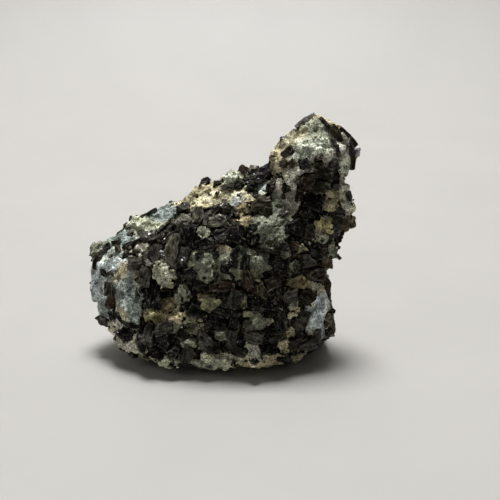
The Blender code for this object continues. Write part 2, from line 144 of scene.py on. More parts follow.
# Dark crystals of the front, large enough to be in the solid too.
CRYSTALS = (
    Growth(306, 121, 8.5, 2.6, 30, 0.6, tint=Tint.ASH),
    Growth(336, 133, 7.0, 3.0, -48, 0.7, tint=Tint.OLIVE), Growth(288, 153, 5.0, 3.0, 30),
    Growth(324, 175, 6.5, 4.0, -10, 1.8, tint=Tint.OLIVE),
    Growth(308, 181, 6.0, 4.5, 10, 1.5, tint=Tint.BROWN),
    Growth(318, 186, 5.0, 4.5, -15, 1.2, tint=Tint.OLIVE),
    Growth(312, 204, 8.5, 10.5, 5, 0.6, tint=Tint.BLACK), Growth(339, 212, 5.5, 4.0, -10, tint=Tint.ASH),
    Growth(296, 228, 8.0, 7.5, -10, 2.0, tint=Tint.CHARCOAL),
    Growth(262, 208, 7.5, 7.2, 15, 2.4, Form.ROUND, Tint.OLIVE),
    Growth(236, 233, 5.5, 6.0, -20, 1.8, tint=Tint.CHARCOAL),
    Growth(222, 235, 6.0, 5.0, 10, 1.4, tint=Tint.GREY),
    Growth(206, 244, 7.5, 3.8, 5, 1.6, tint=Tint.CHARCOAL),
    Growth(190, 239, 9.5, 3.6, 84, 1.6, tint=Tint.BLACK),
    Growth(218, 221, 6.2, 4.0, 3, 2.0, tint=Tint.SMOKY),
    Growth(198, 216, 6.0, 3.4, 80, 1.6, tint=Tint.SMOKY),
    Growth(207, 219, 6.0, 2.6, 70, 1.2, tint=Tint.ASH),
    Growth(185, 222, 6.0, 5.8, 20, 2.0, Form.ROUND, Tint.SMOKY),
    Growth(184, 208, 5.2, 3.0, 5, 1.4, tint=Tint.GREY), Growth(150, 237, 5.4, 4.0, 25, 1.6, tint=Tint.ASH),
    Growth(136, 263, 5.6, 4.0, 8, 1.6, tint=Tint.ASH), Growth(155, 256, 7.4, 3.4, -75, 1.4, tint=Tint.ASH),
    Growth(172, 254, 12.0, 4.8, 80, 2.2, tint=Tint.SMOKY),
    Growth(184, 258, 6.4, 4.6, 80, 1.8, tint=Tint.GREY),
    Growth(176, 236, 6.5, 4.5, 20, 1.2, tint=Tint.CHARCOAL), Growth(190, 273, 5.2, 3.8, 20, 1.4),
    Growth(144, 277, 6.4, 4.2, 75, 1.3, tint=Tint.ASH),
    Growth(152, 293, 11.0, 6.0, 84, 0.9, tint=Tint.BLACK), Growth(112, 303, 5.0, 4.6, -60, 1.5),
    Growth(109, 290, 5.0, 3.4, 80, 1.2, tint=Tint.ASH), Growth(104, 321, 4.8, 3.4, -60, 1.4, tint=Tint.ASH),
    Growth(126, 333, 8.8, 4.6, -2, 1.5, tint=Tint.BLACK),
    Growth(264, 176, 6.5, 5.0, 30, 1.8, tint=Tint.PURPLE),
    Growth(234, 258, 6.4, 3.2, 82, 1.4, tint=Tint.BLACK),
    Growth(246, 262, 5.6, 2.6, 75, 1.4, tint=Tint.GREEN_BLACK), Growth(268, 248, 8.0, 4.0, -8, 1.8),
    Growth(279, 263, 7.5, 5.0, -5, 1.6, tint=Tint.CHARCOAL),
    Growth(316, 249, 6.4, 3.8, 85, 1.4, tint=Tint.BLACK), Growth(307, 262, 5.0, 4.0, 0, 1.2, tint=Tint.ASH),
    Growth(314, 274, 7.2, 4.4, 8, 2.0, tint=Tint.BROWN),
    Growth(326, 262, 4.6, 3.8, -15, 1.4, tint=Tint.UMBER),
    Growth(326, 285, 5.0, 3.8, 75, 1.2, tint=Tint.BROWN),
    Growth(305, 296, 5.5, 4.5, -35, 1.4, tint=Tint.OLIVE), Growth(290, 297, 5.0, 4.4, 10, 1.2),
    Growth(262, 291, 5.5, 4.0, -60, 1.5), Growth(274, 283, 5.5, 4.2, 15, 1.5, tint=Tint.OLIVE),
    Growth(248, 282, 6.5, 3.6, -75, 1.4), Growth(222, 286, 9.0, 3.2, 4, 1.2),
    Growth(203, 287, 6.0, 3.4, -12, 1.0), Growth(236, 300, 6.5, 4.6, 70, 1.3, tint=Tint.GREY),
    Growth(270, 305, 7.5, 4.2, -12, 1.5), Growth(281, 320, 6.4, 4.6, -70, 1.4),
    Growth(300, 321, 7.2, 4.8, 80, 1.6, tint=Tint.ASH), Growth(254, 338, 6.4, 5.0, -12, 1.8, tint=Tint.ASH),
    Growth(277, 336, 6.0, 4.0, 10, 1.2, tint=Tint.OLIVE),
    Growth(316, 334, 5.0, 3.8, 75, 1.2, tint=Tint.ASH), Growth(308, 345, 7.5, 3.4, 5, 1.3, tint=Tint.ASH),
    Growth(293, 345, 4.6, 3.6, 20, 1.1, tint=Tint.GREY),
    Growth(221, 313, 7.0, 4.6, -15, 1.4, tint=Tint.BLACK), Growth(196, 312, 6.4, 4.6, -30, 1.4),
    Growth(237, 317, 5.4, 3.6, 80, 1.2), Growth(216, 324, 7.0, 3.4, -10, 1.2),
    Growth(165, 328, 6.6, 4.6, 12, 1.5), Growth(149, 334, 6.8, 4.2, 84, 1.3, tint=Tint.GREY),
    Growth(165, 342, 6.4, 4.6, 60, 1.6, tint=Tint.CHARCOAL), Growth(181, 336, 4.6, 3.8, -30, 1.2),
    Growth(205, 341, 6.6, 4.8, -50, 1.5, tint=Tint.ASH), Growth(232, 341, 6.4, 4.0, 85, 1.4),
    Growth(187, 354, 6.6, 4.0, 75, 1.3, tint=Tint.GREY), Growth(158, 354, 4.8, 4.6, 10, 1.2, Form.ROUND),
    Growth(173, 352, 4.6, 3.6, 25, 1.2, tint=Tint.GREY), Growth(270, 350, 5.4, 3.6, 10, 1.2),
    Growth(239, 352, 5.0, 3.6, -20, 1.0, tint=Tint.GREY), Growth(284, 359, 4.8, 3.0, 25, 1.0),
    Growth(142, 344, 6.8, 2.8, 86, 1.0),
)

# Paler grains and lumps of the front, in the solid too.
GRAINS = (
    Growth(163, 275, 9.6, 6.2, -62, 1.8, tint=Tint.YELLOW_GREEN),
    Growth(183, 294, 6.4, 5.4, -15, 1.6, tint=Tint.SMOKY),
    Growth(211, 303, 8.2, 6.6, -25, 1.8, tint=Tint.YELLOW_GREEN),
    Growth(155, 315, 7.6, 4.0, 8, 1.8, Form.ROUND, Tint.OCHRE),
    Growth(325, 228, 7.8, 6.4, 80, 1.6, tint=Tint.YELLOW_GREEN),
    Growth(232, 178, 6.0, 5.4, 20, 2.6, Form.ROUND, Tint.GREY_GREEN),
    Growth(97, 249, 6.0, 5.4, 40, 1.6, Form.ROUND, Tint.CREAM),
    Growth(203, 233, 4.8, 4.0, -35, 1.3, tint=Tint.GREY_GREEN),
    Growth(257, 323, 7.2, 4.4, 12, 1.3, tint=Tint.PALE_GREEN),
    Growth(333, 201, 8.0, 6.6, 20, 1.8, tint=Tint.TAN),
    Growth(348, 222, 6.2, 5.6, 50, 2.6, Form.ROUND, Tint.OLIVE),
    Growth(331, 325, 8.5, 4.2, -84, 1.4, tint=Tint.SMOKY),
    Growth(336, 251, 6.0, 3.0, -78, 1.6, tint=Tint.GREY_GREEN),
    Growth(222, 363, 11.5, 5.0, 2, 1.4, tint=Tint.PALE_GREEN),
    Growth(254, 357, 6.8, 4.4, -70, 1.3, tint=Tint.WHITE),
    Growth(168, 364, 8.6, 2.8, 2, 1.2, tint=Tint.SAGE), Growth(340, 186, 5.2, 3.4, 0, 1.2, tint=Tint.SMOKY),
    Growth(134, 222, 6.5, 4.4, 45, 1.6, Form.ROUND, Tint.GREY_GREEN),
    Growth(129, 305, 12.0, 5.8, -84, 1.4, Form.ROUND, Tint.BLUE),
    Growth(112, 255, 6.6, 5.6, 30, 1.6, Form.ROUND, Tint.GREY_GREEN),
    Growth(322, 304, 5.4, 4.6, 70, 1.2, Form.ROUND, Tint.BLUE),
    Growth(205, 258, 6.6, 4.4, -10, 1.2, tint=Tint.GREY_GREEN),
    Growth(206, 274, 6.4, 5.0, 0, 1.2, tint=Tint.GREY_GREEN),
    Growth(261, 262, 6.0, 4.6, -8, 1.0, tint=Tint.BLUE),
    Growth(184, 319, 5.6, 3.6, -40, 1.2, tint=Tint.OCHRE),
    Growth(358, 154, 5.6, 2.8, 80, 0.4, Form.ROUND, Tint.LILAC),
    Growth(96, 291, 7.5, 4.4, 84, 1.2, Form.ROUND, Tint.BLUE),
    Growth(275, 156, 5.6, 4.6, 40, 1.4, Form.ROUND, Tint.CREAM),
    Growth(145, 224, 6.4, 3.6, 25, 1.2, Form.ROUND, Tint.CREAM),
    Growth(290, 352, 5.0, 2.8, 5, 0.8, tint=Tint.OCHRE),
)

# Smaller dark crystals of the front.
SMALL_CRYSTALS = (
    Growth(284, 164, 2.8, 2.6, 0), Growth(292, 163, 2.6, 2.4, 40), Growth(304, 164, 3.8, 3.6, 15),
    Growth(319, 158, 3.0, 2.4, 0), Growth(318, 165, 4.0, 2.4, 0),
    Growth(334, 166, 3.6, 3.4, 30, tint=Tint.GREY), Growth(300, 192, 2.6, 7.0, -6, 1.0),
    Growth(335, 227, 3.6, 4.4, 20, tint=Tint.GREY), Growth(310, 231, 3.4, 6.5, 0, 1.2),
    Growth(284, 213, 2.8, 2.4, 30), Growth(285, 188, 3.2, 3.0, 20, 1.0, Form.ROUND),
    Growth(283, 197, 2.2, 2.0, 0, 0.8, Form.ROUND), Growth(252, 229, 3.4, 3.2, 0, 1.2, Form.ROUND),
    Growth(256, 239, 4.2, 2.8, 75), Growth(225, 208, 4.4, 4.2, 0, 2.0, Form.ROUND, tint=Tint.GREY),
    Growth(216, 211, 4.4, 3.6, 20, 1.6, tint=Tint.GREY), Growth(147, 255, 3.2, 3.2, 30),
    Growth(136, 252, 3.0, 1.9, 0, 0.7), Growth(138, 294, 3.6, 2.0, 85, 0.9),
    Growth(113, 314, 3.8, 3.2, -45, 1.2), Growth(103, 273, 3.4, 1.7, -55, 0.7),
    Growth(254, 169, 4.0, 3.4, 40, 1.5, Form.ROUND, tint=Tint.SMOKY),
    Growth(253, 186, 4.2, 4.0, 0, 2.0, Form.ROUND), Growth(240, 186, 3.8, 3.4, 10, 1.8, Form.ROUND),
    Growth(228, 187, 4.2, 2.2, 5, 1.2, tint=Tint.ASH), Growth(272, 187, 4.4, 3.8, 25, 1.4, Form.ROUND),
    Growth(205, 182, 2.8, 2.2, 35, 1.4), Growth(217, 184, 2.8, 2.2, 30, 1.2),
    Growth(225, 269, 3.6, 3.6, -20, 1.0, tint=Tint.BLACK), Growth(215, 256, 3.2, 2.0, 15, 0.8),
    Growth(213, 273, 1.9, 1.6, 30, 0.6), Growth(283, 245, 3.6, 3.2, 0, 1.4, Form.ROUND),
    Growth(294, 246, 4.4, 3.0, 0, 1.0), Growth(215, 347, 4.4, 3.6, 0, 1.2),
    Growth(349, 196, 3.2, 2.0, 80, 0.9),
)

# Smaller pale grains of the front.
SMALL_GRAINS = (
    Growth(221, 335, 4.2, 3.2, 5, 1.2, tint=Tint.GREY_GREEN),
    Growth(190, 343, 4.2, 3.0, 0, 1.2, Form.ROUND, Tint.GREY_GREEN),
    Growth(169, 305, 3.8, 3.6, 0, 1.4, Form.ROUND, Tint.OCHRE),
    Growth(285, 254, 3.6, 3.2, 0, 1.2, Form.ROUND, Tint.SMOKY),
    Growth(350, 184, 4.4, 3.4, -80, 1.4, Form.ROUND, Tint.GREY_GREEN),
)

# Thin dark seams of the front: the pixels that each follows, and its width in millimetres.
SEAMS = (
    (((93, 267), (98, 257), (104, 249), (111, 244), (121, 243)), 2.2),
    (((127, 229), (137, 220), (147, 214), (156, 209)), 1.1),
    (((123, 247), (133, 243), (143, 239)), 1.9),
    (((117, 313), (122, 321), (131, 325), (142, 329)), 1.7),
    (((341, 128), (349, 136), (358, 145)), 1.3),
    (((348, 145), (353, 153), (352, 168)), 2.0),
    (((332, 138), (337, 147), (339, 156)), 1.4),
    (((321, 119), (326, 124), (333, 131)), 1.4),
)

# Bare matrix of the front, where few crystals of the solid grow.
BARE: tuple[Ellipse, ...] = (
    (312, 144, 7.4, 5.0, 10), (318, 125, 4.6, 2.0, 0), (303, 133, 3.6, 1.6, 35), (276, 154, 4.6, 3.6, 40),
    (284, 143, 3.6, 2.4, 30), (274, 167, 4.4, 2.2, 0), (344, 155, 2.6, 5.6, 0), (357, 154, 1.6, 3.6, 0),
    (326, 117, 4.4, 1.2, -20), (290, 190, 3.2, 7.4, 0), (277, 214, 3.6, 5.4, 10), (270, 229, 6.0, 5.2, 0),
    (246, 222, 2.4, 1.4, 0), (188, 195, 5.2, 2.6, 25), (214, 196, 8.6, 2.6, 5), (204, 188, 6.4, 2.0, 20),
    (234, 203, 1.8, 1.8, 0), (246, 202, 2.6, 3.4, 0), (241, 214, 3.0, 2.2, 0), (163, 212, 5.2, 3.0, 25),
    (145, 224, 4.6, 2.4, 25), (122, 236, 3.4, 2.6, 10), (106, 266, 4.0, 2.4, 20), (120, 272, 4.4, 3.6, 0),
    (142, 248, 3.2, 2.0, 10), (97, 288, 2.6, 7.4, 0), (128, 299, 3.6, 9.4, 8), (166, 236, 3.2, 2.0, 0),
    (224, 252, 5.0, 2.6, 10), (248, 252, 4.4, 2.2, 0), (262, 262, 4.0, 3.2, 0), (181, 317, 2.4, 3.0, 30),
    (194, 327, 4.4, 2.0, -30), (244, 303, 1.2, 3.0, -15), (116, 324, 3.2, 3.0, 0), (125, 344, 4.6, 1.8, -8),
    (136, 350, 2.2, 2.2, 0), (321, 303, 3.4, 3.8, 0), (317, 318, 3.0, 3.0, 0), (324, 332, 1.8, 7.0, 6),
    (350, 205, 1.6, 3.8, 0), (323, 246, 1.8, 2.8, 0), (222, 361, 6.4, 3.2, 0), (254, 357, 2.4, 3.8, 15),
    (268, 364, 5.6, 1.6, -5), (297, 307, 1.8, 1.6, 0), (330, 158, 3.6, 2.8, 0), (298, 285, 2.6, 2.0, 0),
)

# Broad parts of the front where pale matrix prevails, each an ellipse and how much of it is pale: 0 is half.
ZONES = (
    (113, 290, 25.0, 10.5, 95, 0.22), (137, 226, 17.0, 5.5, 30, 0.34), (205, 195, 13.0, 5.0, 8, 0.25),
    (245, 192, 8.0, 4.0, 0, 0.05), (310, 142, 16.0, 10.5, 20, 1.1), (348, 156, 9.0, 4.5, 90, 0.20),
    (287, 195, 9.0, 5.5, 80, 0.25), (272, 225, 8.0, 6.5, 0, 0.45), (320, 312, 10.0, 5.5, 80, 0.35),
    (222, 362, 28.0, 3.5, 0, 0.18), (226, 262, 15.0, 6.5, -3, 0.16), (172, 315, 12.0, 6.0, -20, 0.02),
)

# Parts of the front with brown crystals.
RUSTY: tuple[Ellipse, ...] = (
    (312, 268, 10.0, 9.0, 60), (300, 350, 11.0, 4.0, 5), (238, 214, 4.0, 4.0, 0), (345, 222, 5.0, 5.0, 0),
)

# The pale and coloured areas of the front, by colour.
PATCHES: dict[Tint, tuple[Ellipse, ...]] = {
    Tint.GREY_GREEN: (
        (97, 247, 2.6, 2.6, 0), (314, 130, 4.8, 3.4, 0), (203, 232, 2.4, 1.8, -35), (223, 257, 3.2, 3.0, 0),
        (241, 253, 3.4, 2.5, 0), (209, 276, 4.6, 3.2, 0), (183, 294, 2.9, 2.5, 0), (175, 328, 2.6, 1.7, 0),
        (203, 328, 1.6, 1.2, 0), (188, 343, 2.1, 1.5, 0), (220, 334, 2.0, 1.6, 0), (257, 323, 3.8, 2.2, 10),
        (322, 236, 2.4, 2.2, 0), (285, 253, 1.9, 1.6, 0), (294, 266, 1.1, 1.0, 0), (333, 251, 2.8, 1.3, 90),
        (317, 287, 1.5, 1.5, 0), (295, 307, 1.5, 1.1, 0),
    ),
    Tint.PALE_GREEN: (
        (129, 221, 2.8, 2.2, 45), (145, 225, 4.4, 2.2, 25), (163, 275, 5.2, 3.2, -62),
        (138, 351, 2.4, 2.2, 0), (222, 362, 5.4, 2.4, 0), (163, 364, 3.4, 1.2, 0),
    ),
    Tint.TEAL: ((123, 237, 2.8, 2.3, 10), (162, 211, 4.6, 2.7, 25)),
    Tint.PALE_BLUE: ((112, 254, 3.6, 2.6, 35), (235, 201, 1.9, 1.5, 90), (265, 183, 1.6, 1.1, 80)),
    Tint.WHITE: (
        (142, 248, 2.6, 2.2, 10), (147, 263, 1.9, 0.8, -15), (117, 323, 2.4, 2.2, 0),
        (124, 345, 5.4, 2.4, -10), (291, 187, 6.2, 2.6, 82), (333, 160, 2.2, 2.2, 0),
        (343, 150, 2.8, 1.9, 80), (324, 169, 1.2, 0.8, 0), (349, 184, 3.4, 1.8, 85),
        (349, 205, 3.4, 1.8, 90), (253, 352, 3.9, 1.7, -60),
    ),
    Tint.ICE: (
        (109, 266, 5.4, 2.4, 20), (95, 288, 7.4, 2.3, 90), (320, 302, 3.4, 2.9, 60),
        (313, 316, 2.8, 1.9, 80), (322, 332, 6.0, 1.4, 82),
    ),
    Tint.SAND: (
        (120, 272, 2.6, 1.9, 80), (187, 195, 4.4, 2.4, 25), (206, 187, 5.0, 1.6, 15),
        (277, 154, 3.6, 3.0, 40), (275, 167, 3.6, 1.6, 0), (326, 116, 4.4, 1.1, -20),
        (224, 250, 2.6, 1.2, 10), (177, 317, 2.6, 1.9, -60), (259, 367, 6.0, 1.5, -3),
        (293, 331, 2.2, 1.0, 80), (285, 345, 2.3, 1.9, 0), (303, 357, 2.6, 0.8, 10),
        (333, 202, 3.9, 3.1, 20),
    ),
    Tint.STRAW: ((167, 284, 1.6, 1.4, 0), (155, 315, 3.9, 2.3, 5), (326, 226, 3.4, 3.0, 80)),
    Tint.BLUE: ((128, 297, 8.4, 4.0, 95), (133, 316, 2.4, 1.8, 80), (101, 307, 3.0, 1.8, -40)),
    Tint.CREAM: (
        (124, 312, 2.4, 2.0, 0), (214, 197, 7.8, 2.6, 3), (284, 143, 3.4, 2.0, 35),
        (302, 134, 3.6, 2.0, 35), (293, 316, 0.9, 0.8, 0),
    ),
    Tint.MINT: ((233, 177, 3.7, 2.6, 15), (311, 148, 6.6, 4.0, 10), (345, 161, 1.9, 1.6, 0)),
    Tint.SAGE: (
        (269, 229, 6.4, 4.8, 10), (277, 214, 5.0, 3.4, 75), (204, 258, 4.2, 3.2, -10),
        (260, 261, 3.9, 3.1, 0),
    ),
    Tint.LILAC: ((357, 153, 3.4, 1.5, 90),),
    Tint.OCHRE: (
        (245, 221, 1.7, 1.4, 0), (240, 208, 2.0, 1.8, 40), (206, 297, 2.6, 1.2, 0), (168, 304, 2.1, 1.9, 0),
        (300, 284, 4.2, 1.9, 5), (310, 345, 3.8, 1.6, 5),
    ),
    Tint.YELLOW_GREEN: (
        (260, 276, 1.3, 0.9, 90), (243, 301, 3.0, 0.9, -80), (192, 326, 3.4, 1.6, -35),
        (303, 249, 1.5, 0.9, 0), (247, 315, 1.2, 1.0, 0),
    ),
    Tint.MOSS: ((211, 305, 3.4, 2.8, -25),),
    Tint.UMBER: ((350, 222, 2.8, 2.6, 0),),
    Tint.SMOKY: ((332, 325, 4.4, 1.7, 85), (340, 187, 2.4, 1.7, 0)),
}


@dataclass(frozen=True)
class Sight:
    """The point of view from which the front was measured, and the camera that stands there.

    Args:
        tilt: how far the view looks down, in degrees.
        aim: the point in the middle of the picture, in millimetres.
        distance: from the eye to that point, in millimetres.
        lens: focal length in millimetres.
        sensor: width of the sensor in millimetres.
        picture: width of the picture in pixels.
        rock_middle: a pixel well inside the rock.
        most_slides: how many pixels one past the rock's edge may slide inwards.
        near: where the camera's view starts, in metres.
    """

    tilt: float = 20
    aim: Corner = (9.4, 0, 40.5)
    distance: float = 360
    lens: float = 70
    sensor: float = 36
    picture: float = 500
    rock_middle: tuple[float, float] = (232, 262)
    most_slides: int = 20
    near: float = 0.01

    @property
    def right(self) -> Vector:
        """The picture's rightward direction."""
        return Vector((1, 0, 0))

    @property
    def forward(self) -> Vector:
        """The direction from the eye to the aim."""
        tilt = math.radians(self.tilt)
        return Vector((0, math.cos(tilt), -math.sin(tilt)))

    @property
    def up(self) -> Vector:
        """The picture's upward direction."""
        return self.right.cross(self.forward)

    @property
    def eye(self) -> Vector:
        """Where the view is from."""
        return Vector(self.aim) - self.forward * self.distance

    @property
    def focus(self) -> float:
        """The focal length in pixels."""
        return self.lens / self.sensor * self.picture

    def ray(self, across: float, down: float) -> Vector:
        """The direction in which a pixel is seen.

        Args:
            across: the pixel's column.
            down: the pixel's row.

        Returns:
            A unit vector.
        """
        middle = self.picture / 2
        ray = self.forward * self.focus + self.right * (across - middle) + self.up * (middle - down)
        return ray.normalized()

    def seen_at(self, tree: BVHTree, across: float, down: float) -> tuple[Vector, Vector]:
        """Where the rock is seen at a pixel. A pixel just past the edge slides inwards.

        Args:
            tree: the rock's surface.
            across: the pixel's column.
            down: the pixel's row.

        Returns:
            The place and the surface's normal there.
        """
        pixel = Vector((across, down))
        for _ in range(self.most_slides):
            place, normal, _, _ = tree.ray_cast(self.eye, self.ray(*pixel))
            if place is not None:
                return place, normal
            pixel += (Vector(self.rock_middle) - pixel).normalized()
        raise ValueError(f"nothing is seen near pixel {across}, {down}")

    def along(self, turn: float) -> Vector:
        """A direction in the picture's plane.

        Args:
            turn: degrees from the picture's rightward direction, counter-clockwise.

        Returns:
            A unit vector.
        """
        angle = math.radians(turn)
        return self.right * math.cos(angle) + self.up * math.sin(angle)

    def add_camera(self) -> None:
        """Sets up the camera at the eye."""
        data = bpy.data.cameras.new("camera")
        data.lens = self.lens
        data.sensor_width = self.sensor
        data.clip_start = self.near
        camera = bpy.data.objects.new("camera", data)
        camera.location = self.eye * MM
        camera.rotation_euler = (math.radians(90 - self.tilt), 0, 0)
        bpy.context.scene.collection.objects.link(camera)
        bpy.context.scene.camera = camera


SIGHT = Sight()


def jitter(dice: random.Random, reach: float) -> Vector:
    """A random short vector.

    Args:
        dice: the source of chance.
        reach: the largest part along each axis.

    Returns:
        The vector.
    """
    return Vector([dice.uniform(-reach, reach) for _ in range(3)])


def hull_of(corners: Iterable[Sequence[float]]) -> bmesh.types.BMesh:
    """A convex block.

    Args:
        corners: points that it reaches.

    Returns:
        The block as a new bmesh.
    """
    shape = bmesh.new()
    for corner in corners:
        shape.verts.new(corner)
    made = bmesh.ops.convex_hull(shape, input=shape.verts)
    inner = [v for v in made["geom_interior"] if isinstance(v, bmesh.types.BMVert)]
    bmesh.ops.delete(shape, geom=inner, context="VERTS")
    return shape


def add(target: bmesh.types.BMesh, shape: bmesh.types.BMesh, place: Matrix | None = None) -> None:
    """Moves a shape into another bmesh, and frees it.

    Args:
        target: what it is added to.
        shape: what is added.
        place: where it goes.
    """
    if place is not None:
        shape.transform(place)
    mesh = bpy.data.meshes.new("piece")
    shape.to_mesh(mesh)
    shape.free()
    target.from_mesh(mesh)
    bpy.data.meshes.remove(mesh)


def object_of(name: str, shape: bmesh.types.BMesh) -> bpy.types.Object:
    """A scene object that holds a bmesh, which is freed.

    Args:
        name: the object's name.
        shape: its shape.

    Returns:
        The object.
    """
    mesh = bpy.data.meshes.new(name)
    shape.to_mesh(mesh)
    shape.free()
    holder = bpy.data.objects.new(name, mesh)
    bpy.context.scene.collection.objects.link(holder)
    return holder


def evaluated_shape(holder: bpy.types.Object) -> bmesh.types.BMesh:
    """What an object's modifiers make of it. The object is removed.

    Args:
        holder: the object.

    Returns:
        A new bmesh.
    """
    graph = bpy.context.evaluated_depsgraph_get()
    shape = bmesh.new()
    shape.from_object(holder, graph)
    bpy.data.objects.remove(holder)
    return shape


def melt(shape: bmesh.types.BMesh, grain: float, smoothings: int, softness: float = 0.5) -> bmesh.types.BMesh:
    """Melts overlapping blocks together into one even surface.

    Args:
        shape: the blocks, which are freed.
        grain: the size of the steps of the new surface, in millimetres.
        smoothings: how often it is smoothed.
        softness: how much each time.

    Returns:
        A new bmesh.
    """
    holder = object_of("melting", shape)
    remesh = holder.modifiers.new("melt", "REMESH")
    remesh.mode = "VOXEL"
    remesh.voxel_size = grain
    smooth = holder.modifiers.new("soften", "SMOOTH")
    smooth.factor = softness
    smooth.iterations = smoothings
    return evaluated_shape(holder)


def cut_off(shape: bmesh.types.BMesh, place: Vector, normal: Vector) -> None:
    """Cuts away what lies beyond a plane, and closes the cut.

    Args:
        shape: what is cut.
        place: a point of the plane.
        normal: the plane's normal, towards what goes.
    """
    everything = shape.verts[:] + shape.edges[:] + shape.faces[:]
    bmesh.ops.bisect_plane(shape, geom=everything, plane_co=place, plane_no=normal, clear_outer=True)
    rim = [edge for edge in shape.edges if edge.is_boundary]
    if rim:
        bmesh.ops.edgeloop_fill(shape, edges=rim)


# How a crystal's block leans sideways and slopes along its length.
LEAN = 0.3
SLOPE = 0.25

# How far the broken corners are from the middle, for a block of size 1, and how far each cut is turned.
CUTS = {Form.BLOCK: (0.5, 0.64), Form.ROUND: (0.5, 0.58)}
CUT_JITTER = 0.4


def crystal(dice: random.Random, long: float, wide: float, tall: float, form: Form) -> bmesh.types.BMesh:
    """A leaning block with broken upper corners, its long side along X.

    Args:
        dice: the source of chance.
        long: its size along X.
        wide: its size along Y.
        tall: its size along Z.
        form: a round one has all four upper corners cut, a block has two.

    Returns:
        The shape as a new bmesh.
    """
    shape = bmesh.new()
    bmesh.ops.create_cube(shape, size=1)
    lean = Matrix.Identity(4)
    lean[0][2] = dice.uniform(-LEAN, LEAN)
    lean[1][2] = dice.uniform(-LEAN, LEAN)
    lean[2][0] = dice.uniform(-SLOPE, SLOPE)
    shape.transform(lean)
    corners = [Vector((x, y, 1)) for x in (-1, 1) for y in (-1, 1)]
    chosen = corners if form is Form.ROUND else dice.sample(corners, 2)
    for corner in chosen:
        normal = (corner + jitter(dice, CUT_JITTER)).normalized()
        cut_off(shape, normal * dice.uniform(*CUTS[form]), normal)
    shape.transform(Matrix.Diagonal((long, wide, tall, 1)))
    return shape


def standing(place: Vector, outward: Vector, along: Vector, proud: float, tall: float) -> Matrix:
    """The matrix that sets a crystal into the surface.

    Args:
        place: the surface's point.
        outward: where the crystal's top faces.
        along: where its length points.
        proud: how far it stands out.
        tall: its full height.

    Returns:
        The matrix.
    """
    z = outward.normalized()
    x = (along - z * along.dot(z)).normalized()
    y = z.cross(x)
    turn = Matrix((x, y, z)).transposed().to_4x4()
    return Matrix.Translation(place + z * (proud - tall / 2)) @ turn


def smooth_step(low: float, high: float, value: np.ndarray) -> np.ndarray:
    """A soft step.

    Args:
        low: where it starts to rise from 0.
        high: where it reaches 1.
        value: what is stepped.

    Returns:
        Numbers from 0 to 1.
    """
    part = np.clip((value - low) / (high - low), 0, 1)
    return part * part * (3 - 2 * part)


def noise_at(points: np.ndarray, *layers: Layer) -> np.ndarray:
    """Smooth noise at many points.

    Args:
        points: the places, one a row.
        layers: what it is the sum of.

    Returns:
        Numbers round 0. Those of a layer are mostly within its height.
    """
    total = np.zeros(len(points))
    for height, span, shift in layers:
        total += height * np.array([noise.noise(Vector(place)) for place in points / span + shift])
    return total


def cells_at(points: np.ndarray, span: float, chance_span: float = 7.3) -> tuple[np.ndarray, np.ndarray]:
    """The pattern of cracked cells at many points.

    Args:
        points: the places, one a row.
        span: how wide a cell is.
        chance_span: takes neighbouring cells far apart in the noise that gives their random numbers.

    Returns:
        How far each place is from its cell's edge, and a random number for each cell.
    """
    edges = np.empty(len(points))
    chances = np.empty(len(points))
    for index, place in enumerate(points / span):
        spans, middles = noise.voronoi(Vector(place))
        edges[index] = spans[1] - spans[0]
        chances[index] = noise.cell(middles[0] * chance_span)
    return edges, chances


